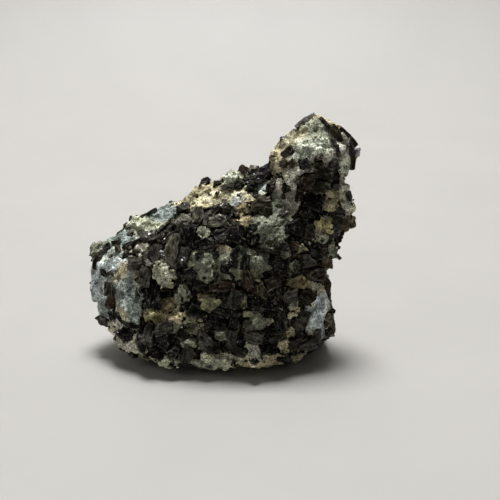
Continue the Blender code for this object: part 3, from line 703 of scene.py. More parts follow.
@dataclass
class RockBody:
    """The lump that everything sits on: broken chunks melted together and roughened.

    Args:
        chunks: corners of the broken chunks, in millimetres. Each is the convex block round its corners.
        hollows: places where the surface is sunk, as middle, radius and depth.
        melt_grain: size of the steps in which the chunks are melted together.
        smoothings: how often the melted chunks are smoothed.
        swell_height: height of the broad swells.
        swell_span: how far those are apart.
        lump_height: height of the lumps.
        lump_span: how far those are apart.
        lump_shift: moves their pattern.
        crease_depth: depth of the creases.
        crease_span: how far those are apart.
        crease_width: their width, as a share of that.
        fine_levels: how often each face is split for the fine body.
    """

    chunks: dict[str, tuple[Corner, ...]] = field(default_factory=lambda: {
        "base": (
            (-42, -14, 8), (-31, -20, 7), (-14, -25, 6), (12, -27, 5), (32, -18, 5), (41, -9, 10),
            (-22, -11, -3), (26, -11, -3), (-46, 4, 10), (-30, 20, 3), (0, 27, -3), (28, 22, -3), (39, 8, 3),
            (-44, -6, 36), (-20, -16, 42), (12, -19, 45), (36, -13, 40), (40, 6, 37),
            (-38, 16, 34), (4, 24, 46), (30, 20, 42),
        ),
        "left_end": (
            (-49, -2, 14), (-51, 5, 23), (-51, 4, 36), (-51, 8, 40), (-40, 13, 41), (-34, 12, 50),
            (-40, -12, 30), (-42, -12, 14), (-22, -18, 20), (-24, -16, 42), (-26, 11, 54), (-30, 22, 20),
        ),
        "ridge": (
            (-32, 9, 50), (-26, -13, 38), (-20, -9, 48), (-14, 10, 60), (-6, 9, 66), (1, 9, 67), (2, -12, 54),
            (16, 8, 63), (24, -15, 54), (38, -12, 50), (49, 4, 53), (49, 6, 61), (36, 20, 58), (10, 22, 56),
            (-20, 22, 38), (24, 14, 72), (20, -18, 36), (40, -6, 36), (44, 0, 49),
        ),
        "knob": (
            (13, 4, 64), (20, -7, 67), (36, -9, 66), (45, -2, 68), (50, 6, 74), (50, 6, 79),
            (46, 2, 84), (39, 6, 90), (33, 6, 92), (25, 8, 85), (16, 9, 80), (40, 16, 74),
            (26, 18, 70), (34, -6, 80), (24, -5, 76), (30, -4, 60), (42, 0, 58), (28, 14, 60),
        ),
    })
    hollows: tuple[tuple[Corner, float, float], ...] = (
        ((31, -16, 56), 9, 3.0),
        ((-29, -22, 24), 6, 1.5),
        ((0, -24, 22), 9, 1.6),
        ((44, -6, 66), 6, 1.5),
    )
    melt_grain: float = 2.2
    smoothings: int = 3
    swell_height: float = 2.0
    swell_span: float = 21
    lump_height: float = 1.3
    lump_span: float = 8
    lump_shift: Corner = (7, 3, 5)
    crease_depth: float = 1.3
    crease_span: float = 11
    crease_width: float = 0.3
    fine_levels: int = 2

    def relief(self, point: Vector) -> float:
        """How far the broken surface stands out at a point: swells, lumps, creases and hollows.

        Args:
            point: the place in millimetres.

        Returns:
            The height in millimetres.
        """
        swell = self.swell_height * noise.noise(point / self.swell_span)
        lump = self.lump_height * noise.noise(point / self.lump_span + Vector(self.lump_shift))
        near, second = noise.voronoi(point / self.crease_span)[0][:2]
        crease = self.crease_depth * max(0, 1 - (second - near) / self.crease_width)
        sunk = sum(
            depth * max(0, 1 - ((point - Vector(middle)).length / radius) ** 2)
            for middle, radius, depth in self.hollows
        )
        return swell + lump - crease - sunk

    def melted(self) -> bmesh.types.BMesh:
        """The chunks melted together and roughened.

        Returns:
            An even bmesh, in millimetres.
        """
        blocks = bmesh.new()
        for corners in self.chunks.values():
            add(blocks, hull_of(corners))
        body = melt(blocks, self.melt_grain, self.smoothings)
        body.normal_update()
        moves = [(vert, vert.normal * self.relief(vert.co)) for vert in body.verts]
        for vert, move in moves:
            vert.co += move
        body.normal_update()
        return body

    def fine(self) -> bmesh.types.BMesh:
        """The melted body with many small faces.

        Returns:
            A bmesh, in millimetres.
        """
        holder = object_of("coarse", self.melted())
        refine = holder.modifiers.new("refine", "SUBSURF")
        refine.levels = self.fine_levels
        refine.render_levels = self.fine_levels
        return evaluated_shape(holder)


@dataclass
class MineralMap:
    """Which mineral's colour the rock has where.

    On the front, the patches are laid out one by one. Elsewhere they come from noise. How far a place is
    inside a patch is in millimetres, and below 0 outside.

    Args:
        tree: the rock's surface.
        grown: how much larger than its ellipse each patch is, in millimetres.
        blend: over how many millimetres neighbouring colours mix.
        reach: the least and greatest distance inside a patch that its colour's share depends on.
        depth_share: how far a patch reaches along the line of sight, as a share of its size.
        ragged: how far noise moves a patch's edge, in millimetres.
        edge_noise: that noise.
        soft: over how many millimetres a patch fades out.
        zone_depth: how steeply the noise of the zones counts, in millimetres.
        zone_noise: that noise.
        rust_fade: where the brown of a rusty part starts and where it is full.
        turned: how far past square to the view the surface still counts as seen, as a cosine.
        stain_border: where the stain at a patch's border is full and where it ends.
        stain_patches: from which noise on there is some, and from which on all of it.
        stain_noise: that noise.
        stain_share: how much of it mixes in.
        clouds: noise that makes the matrix lighter and darker.
        wild_depth: how steeply the noise of the unseen sides counts, in millimetres.
        wild_noise: that noise.
        wild_share: takes from the pale share of those sides.
        hue_noise: noise that chooses their colours.
        hues: those colours.
        hue_bands: the noise at which one colour gives way to the next.
        outside: a place that is inside nothing.
    """

    tree: BVHTree
    grown: float = 0.7
    blend: float = 0.5
    reach: Range = (-20, 2)
    depth_share: float = 2.2
    ragged: float = 1.3
    edge_noise: tuple[Layer, ...] = (Layer(1, 2.6), Layer(0.6, 1.1, 9))
    soft: float = 0.3
    zone_depth: float = 4.5
    zone_noise: tuple[Layer, ...] = (Layer(0.8, 4.2, 41), Layer(0.45, 1.9, 23))
    rust_fade: Range = (-0.5, 1.5)
    turned: float = 0.15
    stain_border: Range = (0.2, 1.6)
    stain_patches: Range = (-0.05, 0.25)
    stain_noise: Layer = Layer(1, 4.5, 61)
    stain_share: float = 0.55
    clouds: tuple[Layer, ...] = (Layer(0.9, 3.2, 71), Layer(0.45, 1.3, 13))
    wild_depth: float = 5
    wild_noise: tuple[Layer, ...] = (Layer(0.9, 13, 31), Layer(0.8, 5.5, 17), Layer(0.35, 2.2, 3))
    wild_share: float = 0.08
    hue_noise: tuple[Layer, ...] = (Layer(1, 17, 5), Layer(0.35, 5.5, 17))
    hues: tuple[Tint, ...] = (Tint.BLUE, Tint.GREY_GREEN, Tint.CREAM, Tint.YELLOW_GREEN)
    hue_bands: tuple[float, ...] = (-0.22, 0.08, 0.3)
    outside: float = -9

    def inside(self, points: np.ndarray, ellipse: Ellipse, grown: float = 0) -> np.ndarray:
        """How far places are inside an ellipse of the front.

        Args:
            points: the places, one a row.
            ellipse: the ellipse.
            grown: how much larger than that it is.

        Returns:
            Millimetres, below 0 outside.
        """
        across, down, half_long, half_wide, turn = ellipse
        half_long, half_wide = half_long + grown, half_wide + grown
        offset = points - np.array(SIGHT.seen_at(self.tree, across, down)[0])
        along = offset @ np.array(SIGHT.along(turn)) / half_long
        aside = offset @ np.array(SIGHT.along(turn + 90)) / half_wide
        deep = offset @ np.array(SIGHT.forward) / (max(half_long, half_wide) * self.depth_share)
        return (1 - np.sqrt(along**2 + aside**2 + deep**2)) * min(half_long, half_wide)

    def rust(self, points: np.ndarray) -> np.ndarray:
        """How brown the crystals are at many places.

        Args:
            points: the places, one a row.

        Returns:
            Numbers from 0 to 1.
        """
        best = np.full(len(points), float(self.outside))
        for part in RUSTY:
            best = np.maximum(best, self.inside(points, part))
        return smooth_step(*self.rust_fade, best)

    def prevailing(self, points: np.ndarray) -> np.ndarray:
        """How far places are inside the pale matrix of the broad zones, which noise breaks up.

        Args:
            points: the places, one a row.

        Returns:
            Millimetres, below 0 outside.
        """
        broken = noise_at(points, *self.zone_noise)
        best = np.full(len(points), float(self.outside))
        for *ellipse, bias in ZONES:
            inside = self.inside(points, ellipse)
            best = np.maximum(best, np.minimum(inside, self.zone_depth * (broken + bias)))
        return best

    def front_share(self, points: np.ndarray, normals: np.ndarray) -> np.ndarray:
        """How much of each place belongs to the side that was seen.

        Args:
            points: the places, one a row.
            normals: the surface's normals there.

        Returns:
            Numbers from 0, unseen, to 1.
        """
        ways = np.array(SIGHT.eye) - points
        ways /= np.linalg.norm(ways, axis=1)[:, None]
        return smooth_step(-self.turned, self.turned, (ways * normals).sum(axis=1))

    def at(self, points: np.ndarray, normals: np.ndarray) -> tuple[np.ndarray, np.ndarray]:
        """The colour and the paleness of many places.

        Args:
            points: the places in millimetres, one a row.
            normals: the surface's normals there.

        Returns:
            Linear colours, one a row, and how far each place is inside a pale patch.
        """
        wobble = self.ragged * noise_at(points, *self.edge_noise)
        front = self.front_share(points, normals)
        best = np.full(len(points), float(self.outside))
        weights = np.full(len(points), 1e-9)
        colours = np.zeros((len(points), 3))
        for tint, ellipse in ((tint, ellipse) for tint, ellipses in PATCHES.items() for ellipse in ellipses):
            inside = self.inside(points, ellipse, self.grown)
            weight = np.exp(np.clip(inside, *self.reach) / self.blend)
            colours += weight[:, None] * np.array(tint.value)
            weights += weight
            best = np.maximum(best, inside)
        colours /= weights[:, None]
        seen = np.maximum(best + wobble, self.prevailing(points))
        unseen = self.unseen(points, colours, front)
        pale_depth = front * seen + (1 - front) * unseen
        self.stain(points, colours, pale_depth)
        return colours, pale_depth

    def stain(self, points: np.ndarray, colours: np.ndarray, inside: np.ndarray) -> None:
        """Tints the borders of the pale matrix with sand, and mottles all of it.

        Args:
            points: the places in millimetres, one a row.
            colours: their colours, which are changed.
            inside: how far each place is inside the pale matrix.
        """
        border = 1 - smooth_step(*self.stain_border, inside)
        patchy = smooth_step(*self.stain_patches, noise_at(points, self.stain_noise))
        warm = (self.stain_share * border * patchy)[:, None]
        colours += warm * (np.array(Tint.SAND.value) - colours)
        colours *= (1 + noise_at(points, *self.clouds))[:, None]

    def unseen(self, points: np.ndarray, colours: np.ndarray, front: np.ndarray) -> np.ndarray:
        """The pattern of the sides that weren't seen. It also sets their colours.

        Args:
            points: the places in millimetres, one a row.
            colours: the colours so far, changed where the place wasn't seen.
            front: how much each place was seen.

        Returns:
            How far each place is inside a pale patch.
        """
        choice = np.digitize(noise_at(points, *self.hue_noise), self.hue_bands)
        values = np.array([tint.value for tint in self.hues])
        hidden = front < 0.5
        colours[hidden] = values[choice[hidden]]
        return self.wild_depth * (noise_at(points, *self.wild_noise) - self.wild_share)


@dataclass(frozen=True)
class MatrixFinish:
    """Fine-grained pale matrix with dark gaps between the crystals.

    It reads the piece's attributes: tint is the mineral's colour, pale how much of the place is matrix.

    Args:
        name: the material's name.
        dark: colour of the gaps.
        crumb: colour of the crumbs in the gaps.
        speck: colour of the dark specks.
        rough: roughness of the matrix.
        gap_rough: roughness of the gaps.
        speck_strength: how strongly the specks show.
        crumb_strength: how strongly the crumbs show.
        ragged: how far the grains move the border between matrix and gaps, as a share of paleness.
        border: the paleness at which gaps start to turn to matrix, and at which they have.
        shine: how strongly it mirrors.
        relief: height of the grains in metres.
    """

    name: str = "matrix"
    dark: Colour = (0.008, 0.007, 0.005)
    crumb: Colour = (0.13, 0.11, 0.075)
    speck: Colour = (0.035, 0.032, 0.026)
    rough: float = 0.72
    gap_rough: float = 0.5
    speck_strength: float = 0.7
    crumb_strength: float = 0.8
    ragged: float = 0.5
    border: Range = (0.42, 0.58)
    shine: float = 0.15
    relief: float = 0.00018

    def material(self) -> bpy.types.Material:
        """Builds the material.

        Returns:
            The material.
        """
        sheet = NodeSheet(self.name)
        tint = sheet.attribute("tint")
        pale = sheet.attribute("pale", "Fac")
        grain = sheet.group(grain_group(), Size=0.5, Spread=0.34)
        specks = sheet.group(speck_group(), Size=0.6, Share=0.38)
        crumbs = sheet.group(speck_group(), Size=1.1, Share=0.22)
        toned = sheet.scaled(tint, grain["Value"])
        speck_mask = sheet.math("MULTIPLY", specks["Mask"], self.speck_strength)
        specked = sheet.mixed(speck_mask, toned, (*self.speck, 1))
        edge = sheet.math("MULTIPLY_ADD", grain["Height"], self.ragged, -self.ragged / 2)
        mask = sheet.stepped(sheet.math("ADD", pale, edge), *self.border)
        crumb_mask = sheet.math("MULTIPLY", crumbs["Mask"], self.crumb_strength)
        gaps = sheet.mixed(crumb_mask, (*self.dark, 1), (*self.crumb, 1))
        colour = sheet.mixed(mask, gaps, specked)
        sheet.feed("Base Color", colour)
        rough = sheet.math("MULTIPLY_ADD", mask, self.rough - self.gap_rough, self.gap_rough)
        sheet.feed("Roughness", rough)
        sheet.shader.inputs["Specular IOR Level"].default_value = self.shine
        sheet.bump(grain["Height"], self.relief)
        return sheet.material


@dataclass(frozen=True)
class CrystalFinish:
    """Dark crystals with a low lustre, fine growth lines and a little pale dust.

    It reads the piece's attributes: tint is the crystal's colour, own the place within the crystal.

    Args:
        name: the material's name.
        dust: colour of the dust.
        rib: colour of its fine ribs.
        dust_share: how much of the surface the dust covers.
        gloss: roughness of the shiniest places.
        dull: roughness of the dullest places.
        lustre: how strongly it mirrors.
        edge: colour of its chipped edges, partly their real colour and partly a painted highlight of edges
            catching the light.
        glint: strength of the clear coat of its fresh faces.
        glint_rough: how rough that is.
        rough_drop: how far below gloss the mottle alone would take the roughness.
        rib_heights: the heights of the growth lines between which ribs rise.
        rib_strength: how strongly the ribs show.
        dust_strength: how strongly the dust shows.
        edge_wear_and_highlight_step: the sharpness between which an edge turns rubbed and lit by a painted
            highlight.
        edge_wear_and_highlight_strength: how strongly the rubbed edges and their painted highlight show.
        relief: height of the growth lines in metres.
    """

    name: str = "crystal"
    dust: Colour = (0.17, 0.155, 0.115)
    rib: Colour = (0.064, 0.059, 0.046)
    dust_share: float = 0.12
    gloss: float = 0.3
    dull: float = 0.6
    lustre: float = 0.05
    # Lighter edges: partly rubbed, partly a painted highlight of edges catching the light.
    edge: Colour = (0.24, 0.215, 0.16)
    glint: float = 0.55
    glint_rough: float = 0.2
    rough_drop: float = 0.15
    rib_heights: Range = (0.55, 0.68)
    rib_strength: float = 0.7
    dust_strength: float = 0.7
    edge_wear_and_highlight_step: Range = (0.35, 1.0)
    edge_wear_and_highlight_strength: float = 0.5
    relief: float = 0.00012

    def material(self) -> bpy.types.Material:
        """Builds the material.

        Returns:
            The material.
        """
        sheet = NodeSheet(self.name)
        tint = sheet.attribute("tint")
        own = sheet.attribute("own", "Vector")
        sharp_edges = sheet.attribute("edge", "Fac")
        lines = sheet.group(growth_line_group(), Place=own, Size=0.7)
        mottle = sheet.group(mottle_group(), Size=1.4, Low=0.2, High=2.0)
        dust = sheet.group(speck_group(), Size=0.8, Share=self.dust_share)
        edge_chip_and_highlight_mask = sheet.group(speck_group(), Size=1.2, Share=0.48)
        fresh = sheet.group(speck_group(), Size=2.2, Share=0.36)
        toned = sheet.scaled(sheet.scaled(tint, mottle["Value"]), lines["Value"])
        ribs = sheet.math("MULTIPLY", sheet.stepped(lines["Height"], *self.rib_heights), self.rib_strength)
        ribbed = sheet.mixed(ribs, toned, (*self.rib, 1))
        dust_mask = sheet.math("MULTIPLY", dust["Mask"], self.dust_strength)
        dusty = sheet.mixed(dust_mask, ribbed, (*self.dust, 1))
        # Sharp edges take the lighter edge colour in patches: partly rubbed edges, partly a painted
        # highlight.
        edge_wear_and_highlight = sheet.math("MULTIPLY", sheet.stepped(sharp_edges, *self.edge_wear_and_highlight_step), edge_chip_and_highlight_mask["Mask"])
        colour = sheet.mixed(sheet.math("MULTIPLY", edge_wear_and_highlight, self.edge_wear_and_highlight_strength), dusty, (*self.edge, 1))
        sheet.feed("Coat Weight", sheet.math("MULTIPLY", fresh["Mask"], self.glint))
        sheet.shader.inputs["Coat Roughness"].default_value = self.glint_rough
        sheet.feed("Base Color", colour)
        span = self.dull - self.gloss
        rough = sheet.math("MULTIPLY_ADD", mottle["Value"], span, self.gloss - self.rough_drop)
        sheet.feed("Roughness", sheet.math("MAXIMUM", rough, self.gloss))
        sheet.shader.inputs["Specular IOR Level"].default_value = self.lustre
        sheet.bump(lines["Height"], self.relief)
        return sheet.material


@dataclass(frozen=True)
class FloorFinish:
    """A plain pale floor.

    Args:
        colour: its colour.
        rough: its roughness.
    """

    colour: Colour = (0.405, 0.395, 0.375)
    rough: float = 0.6

    def material(self) -> bpy.types.Material:
        """Builds the material.

        Returns:
            The material.
        """
        sheet = NodeSheet("floor")
        mottle = sheet.group(mottle_group(), Size=60, Low=0.98, High=1.02)
        sheet.feed("Base Color", sheet.scaled((*self.colour, 1), mottle["Value"]))
        sheet.shader.inputs["Roughness"].default_value = self.rough
        return sheet.material


class NodeSheet:
    """A material's nodes, with short names for what is done often.

    Args:
        name: the material's name.
    """

    def __init__(self, name: str) -> None:
        """Starts a material with a plain shader."""
        self.material = bpy.data.materials.new(name)
        self.material.use_nodes = True
        self.tree = self.material.node_tree
        self.shader = self.tree.nodes["Principled BSDF"]

    def link(self, value: object, socket: bpy.types.NodeSocket) -> None:
        """Feeds a socket.

        Args:
            value: another node's socket, or a plain value.
            socket: what is fed.
        """
        feed_socket(self.tree, value, socket)

    def attribute(self, name: str, output: str = "Color") -> bpy.types.NodeSocket:
        """Reads a named attribute of the mesh.

        Args:
            name: the attribute's name.
            output: what is read of it: Color, Vector or, as a number, Fac.

        Returns:
            The node's socket.
        """
        node = self.tree.nodes.new("ShaderNodeAttribute")
        node.attribute_name = name
        return node.outputs[output]

    def group(self, group: bpy.types.NodeTree, **values: object) -> dict[str, bpy.types.NodeSocket]:
        """Places a node group.

        Args:
            group: the group.
            values: what its inputs are.

        Returns:
            Its outputs by name.
        """
        node = self.tree.nodes.new("ShaderNodeGroup")
        node.node_tree = group
        for name, value in values.items():
            self.link(value, node.inputs[name])
        return {output.name: output for output in node.outputs}

    def math(self, operation: str, *values: object) -> bpy.types.NodeSocket:
        """A sum on numbers."""
        return math_node(self.tree, operation, *values)

    def scaled(self, colour: object, factor: object) -> bpy.types.NodeSocket:
        """A colour made lighter or darker.

        Args:
            colour: the colour, as a socket or as plain numbers.
            factor: what it is multiplied by.

        Returns:
            The new colour's socket.
        """
        node = self.tree.nodes.new("ShaderNodeVectorMath")
        node.operation = "SCALE"
        if isinstance(colour, tuple):
            node.inputs[0].default_value = colour[:3]
        else:
            self.link(colour, node.inputs[0])
        self.link(factor, node.inputs["Scale"])
        return node.outputs[0]

    def mixed(self, factor: object, first: object, second: object) -> bpy.types.NodeSocket:
        """A mix of two colours."""
        return mix_node(self.tree, factor, first, second)

    def stepped(self, value: object, low: float, high: float) -> bpy.types.NodeSocket:
        """A soft step from 0 to 1.

        Args:
            value: what is stepped.
            low: where it starts to rise.
            high: where it reaches 1.

        Returns:
            The step's socket.
        """
        node = self.tree.nodes.new("ShaderNodeMapRange")
        node.interpolation_type = "SMOOTHSTEP"
        self.link(value, node.inputs["Value"])
        node.inputs["From Min"].default_value = low
        node.inputs["From Max"].default_value = high
        return node.outputs[0]

    def feed(self, name: str, value: object) -> None:
        """Feeds an input of the shader."""
        self.link(value, self.shader.inputs[name])

    def bump(self, height: object, distance: float) -> None:
        """Raises the surface a little by a height pattern.

        Args:
            height: the pattern.
            distance: metres that its full height stands for.
        """
        node = self.tree.nodes.new("ShaderNodeBump")
        node.inputs["Distance"].default_value = distance
        self.link(height, node.inputs["Height"])
        self.link(node.outputs[0], self.shader.inputs["Normal"])


def feed_socket(tree: bpy.types.NodeTree, value: object, socket: bpy.types.NodeSocket) -> None:
    """Feeds a socket of a node tree.

    Args:
        tree: the tree.
        value: another node's socket, or a plain value.
        socket: what is fed.
    """
    if isinstance(value, bpy.types.NodeSocket):
        tree.links.new(value, socket)
    else:
        socket.default_value = value


def math_node(tree: bpy.types.NodeTree, operation: str, *values: object) -> bpy.types.NodeSocket:
    """A Math node.

    Args:
        tree: where it goes.
        operation: what it does.
        values: its inputs.

    Returns:
        Its output.
    """
    node = tree.nodes.new("ShaderNodeMath")
    node.operation = operation
    for value, socket in zip(values, node.inputs):
        feed_socket(tree, value, socket)
    return node.outputs[0]


def mix_node(tree: bpy.types.NodeTree, factor: object, first: object, second: object) -> bpy.types.NodeSocket:
    """A Mix node for colours.

    Args:
        tree: where it goes.
        factor: how much of the second.
        first: one colour.
        second: the other colour.

    Returns:
        Its output.
    """
    node = tree.nodes.new("ShaderNodeMix")
    node.data_type = "RGBA"
    feed_socket(tree, factor, node.inputs["Factor"])
    feed_socket(tree, first, node.inputs["A"])
    feed_socket(tree, second, node.inputs["B"])
    return node.outputs["Result"]


class GroupSheet:
    """A shader node group in the making.

    Args:
        name: the group's name.
        inputs: its number inputs, as names and values.
        outputs: names of its number outputs.
    """

    def __init__(self, name: str, inputs: dict[str, float], outputs: tuple[str, ...]) -> None:
        """Makes the group and its sockets."""
        self.tree = bpy.data.node_groups.new(name, "ShaderNodeTree")
        interface = self.tree.interface
        for socket_name, value in inputs.items():
            socket = interface.new_socket(socket_name, in_out="INPUT", socket_type="NodeSocketFloat")
            socket.default_value = value
        for socket_name in outputs:
            interface.new_socket(socket_name, in_out="OUTPUT", socket_type="NodeSocketFloat")
        self.given = self.tree.nodes.new("NodeGroupInput").outputs
        self.wanted = self.tree.nodes.new("NodeGroupOutput").inputs

    def node(self, kind: str, **settings: object) -> bpy.types.Node:
        """Adds a node.

        Args:
            kind: the node's type.
            settings: its properties by name.

        Returns:
            The node.
        """
        node = self.tree.nodes.new(kind)
        for name, value in settings.items():
            setattr(node, name, value)
        return node

    def link(self, value: object, socket: bpy.types.NodeSocket) -> None:
        """Feeds a socket."""
        feed_socket(self.tree, value, socket)

    def math(self, operation: str, *values: object) -> bpy.types.NodeSocket:
        """A sum on numbers."""
        return math_node(self.tree, operation, *values)

    def place(self) -> bpy.types.NodeSocket:
        """The place on the object, in units of the input named Size, which is in millimetres.

        Returns:
            Its socket.
        """
        coordinate = self.node("ShaderNodeTexCoord")
        scale = self.node("ShaderNodeVectorMath", operation="SCALE")
        self.link(coordinate.outputs["Object"], scale.inputs[0])
        self.link(self.math("DIVIDE", 1 / MM, self.given["Size"]), scale.inputs["Scale"])
        return scale.outputs[0]

    def noise(self, place: object, detail: float) -> bpy.types.NodeSocket:
        """A noise pattern.

        Args:
            place: where it is read.
            detail: how many finer layers it has.

        Returns:
            Its value's socket.
        """
        node = self.node("ShaderNodeTexNoise")
        self.link(place, node.inputs["Vector"])
        node.inputs["Scale"].default_value = 1
        node.inputs["Detail"].default_value = detail
        return node.outputs["Fac"]

    def ranged(self, value: object, *limits: object) -> bpy.types.NodeSocket:
        """Maps a range of numbers to another one.

        Args:
            value: what is mapped.
            limits: the limits of its range, and then those of the other range.

        Returns:
            The mapped value's socket.
        """
        node = self.node("ShaderNodeMapRange")
        names = ("Value", "From Min", "From Max", "To Min", "To Max")
        for number, socket_name in zip((value, *limits), names):
            self.link(number, node.inputs[socket_name])
        return node.outputs[0]


# Where a grain's rim starts and ends, and how light the grain is inside and outside of that.
GRAIN_RIM = (0.35, 0.75, 1.16, 0.78)

# How much noise ruffles a grain's dome, and what the whole height is multiplied by.
GRAIN_RUFFLE = 0.6
GRAIN_HEIGHT = 0.7

# The middle part of a noise pattern, in which most of its values lie.
NOISE_MIDDLE = (0.3, 0.7)

# The noise above which specks start, how that falls with their share, and how soft their edge is.
SPECK_LIMIT = 0.70
SPECK_FALL = -0.45
SPECK_EDGE = 0.06

# How growth lines are drawn out along a crystal, and the range of noise and of shades that they have.
LINE_STRETCH = (0.16, 1, 0.6)
LINE_SHADES = (0.35, 0.65, 0.35, 1.9)


@cache
def grain_group() -> bpy.types.NodeTree:
    """Sugary grains: Value makes each grain lighter or darker, Height is domed over each grain.

    Returns:
        The group, with inputs Size (a grain's size in millimetres) and Spread.
    """
    sheet = GroupSheet("grain", {"Size": 1, "Spread": 0.3}, ("Value", "Height"))
    place = sheet.place()
    cells = sheet.node("ShaderNodeTexVoronoi", feature="F1")
    sheet.link(place, cells.inputs["Vector"])
    cells.inputs["Scale"].default_value = 1
    chance = sheet.node("ShaderNodeSeparateColor")
    sheet.link(cells.outputs["Color"], chance.inputs[0])
    low = sheet.math("SUBTRACT", 1, sheet.given["Spread"])
    high = sheet.math("ADD", 1, sheet.given["Spread"])
    light = sheet.ranged(chance.outputs[0], 0, 1, low, high)
    rim = sheet.ranged(cells.outputs["Distance"], *GRAIN_RIM)
    sheet.link(sheet.math("MULTIPLY", light, rim), sheet.wanted["Value"])
    dome = sheet.math("SUBTRACT", 1, cells.outputs["Distance"])
    rugged = sheet.math("MULTIPLY_ADD", sheet.noise(place, 3), GRAIN_RUFFLE, dome)
    sheet.link(sheet.math("MULTIPLY", rugged, GRAIN_HEIGHT), sheet.wanted["Height"])
    return sheet.tree


@cache
def mottle_group() -> bpy.types.NodeTree:
    """Cloudy light and dark.

    Returns:
        The group, with inputs Size in millimetres, Low and High, and output Value between those.
    """
    sheet = GroupSheet("mottle", {"Size": 3, "Low": 0.8, "High": 1.2}, ("Value",))
    cloud = sheet.noise(sheet.place(), 4)
    shade = sheet.ranged(cloud, *NOISE_MIDDLE, sheet.given["Low"], sheet.given["High"])
    sheet.link(shade, sheet.wanted["Value"])
    return sheet.tree


@cache
def speck_group() -> bpy.types.NodeTree:
    """Scattered specks.

    Returns:
        The group, with inputs Size in millimetres and Share from 0 to 1, and output Mask.
    """
    sheet = GroupSheet("specks", {"Size": 1, "Share": 0.2}, ("Mask",))
    cloud = sheet.noise(sheet.place(), 2)
    limit = sheet.math("MULTIPLY_ADD", sheet.given["Share"], SPECK_FALL, SPECK_LIMIT)
    full = sheet.math("ADD", limit, SPECK_EDGE)
    mask = sheet.ranged(cloud, limit, full, 0, 1)
    sheet.link(mask, sheet.wanted["Mask"])
    return sheet.tree


@cache
def growth_line_group() -> bpy.types.NodeTree:
    """Fine lines along a crystal.

    Returns:
        The group, with inputs Place (within the crystal) and Size in millimetres.
    """
    sheet = GroupSheet("growth_lines", {"Size": 0.5}, ("Value", "Height"))
    place = sheet.tree.interface.new_socket("Place", in_out="INPUT", socket_type="NodeSocketVector")
    place.default_value = (0, 0, 0)
    stretch = sheet.node("ShaderNodeVectorMath", operation="MULTIPLY")
    sheet.link(sheet.given["Place"], stretch.inputs[0])
    stretch.inputs[1].default_value = LINE_STRETCH
    scale = sheet.node("ShaderNodeVectorMath", operation="SCALE")
    sheet.link(stretch.outputs[0], scale.inputs[0])
    sheet.link(sheet.math("DIVIDE", 1, sheet.given["Size"]), scale.inputs["Scale"])
    lines = sheet.noise(scale.outputs[0], 2)
    sheet.link(sheet.ranged(lines, *LINE_SHADES), sheet.wanted["Value"])
    sheet.link(lines, sheet.wanted["Height"])
    return sheet.tree


# How much of its shorter side a growth is rooted in the rock, beyond the height at which it stands out.
ROOT_SHARE = 0.6


def height(proud: float, long: float, wide: float) -> float:
    """The full height of a growth, with the part that is hidden in the rock.

    Args:
        proud: how far it stands out.
        long: its length.
        wide: its width.

    Returns:
        The height.
    """
    return 2 * proud + ROOT_SHARE * min(long, wide)


# How often a crystal's long edges are halved at most, and the cosine below which two faces make an edge.
CUT_ROUNDS = 8
EDGE_COSINE = 0.9

# Unevenness along a crystal as a share of that across, and strength and fineness of its second layer.
ALONG_SHARE = 0.5
FINE_STRENGTH = 0.4
FINE_SCALE = 2.7

# How far the pattern is moved from crystal to crystal, in millimetres.
PATTERN_REACH = 50


def roughened(
    shape: bmesh.types.BMesh, step: float, depth: float, shift: Vector, span: float = 1.5
) -> bmesh.types.BMesh:
    """Breaks a crystal's flat sides into small uneven facets, and marks its edges in the attribute edge.

    Args:
        shape: the crystal, its long side along X.
        step: the longest edge that is left.
        depth: how far corners are moved.
        shift: moves the pattern.
        span: how far the unevenness is apart, across the crystal.

    Returns:
        The same shape.
    """
    bmesh.ops.triangulate(shape, faces=shape.faces[:])
    for _ in range(CUT_ROUNDS):
        long_edges = [edge for edge in shape.edges if edge.calc_length() > step]
        if not long_edges:
            break
        bmesh.ops.subdivide_edges(shape, edges=long_edges, cuts=1)
        bmesh.ops.triangulate(shape, faces=[face for face in shape.faces if len(face.verts) > 3])
    shape.normal_update()
    sharp_edges = shape.verts.layers.float.new("edge")
    for vert in shape.verts:
        first = vert.link_faces[0].normal
        vert[sharp_edges] = float(any(face.normal.dot(first) < EDGE_COSINE for face in vert.link_faces))
    for vert in shape.verts:
        place = (vert.co + shift) / span
        coarse = noise.noise_vector(Vector((place.x * ALONG_SHARE, place.y, place.z)))
        vert.co += depth * (coarse + FINE_STRENGTH * noise.noise_vector(place * FINE_SCALE))
    return shape


def marked(shape: bmesh.types.BMesh, tint: Colour, shift: Vector) -> bmesh.types.BMesh:
    """Gives a crystal its colour, and the place within the crystal, as attributes.

    Args:
        shape: the crystal before it is set in place.
        tint: its colour.
        shift: moves its growth lines, so that no two crystals have the same.

    Returns:
        The same shape.
    """
    tints = shape.verts.layers.float_color.new("tint")
    owns = shape.verts.layers.float_vector.new("own")
    for vert in shape.verts:
        vert[tints] = (*tint, 1)
        vert[owns] = vert.co + shift
    return shape


def rested(shape: bmesh.types.BMesh) -> None:
    """Cuts off what lies under the resting face, and closes the cut.

    Args:
        shape: the shape, in millimetres.
    """
    everything = shape.verts[:] + shape.edges[:] + shape.faces[:]
    bmesh.ops.bisect_plane(shape, geom=everything, plane_co=(0, 0, 0), plane_no=(0, 0, 1), clear_inner=True)
    rim = [edge for edge in shape.edges if edge.is_boundary]
    if rim:
        filled = bmesh.ops.holes_fill(shape, edges=rim, sides=0)
        bmesh.ops.triangulate(shape, faces=filled["faces"])


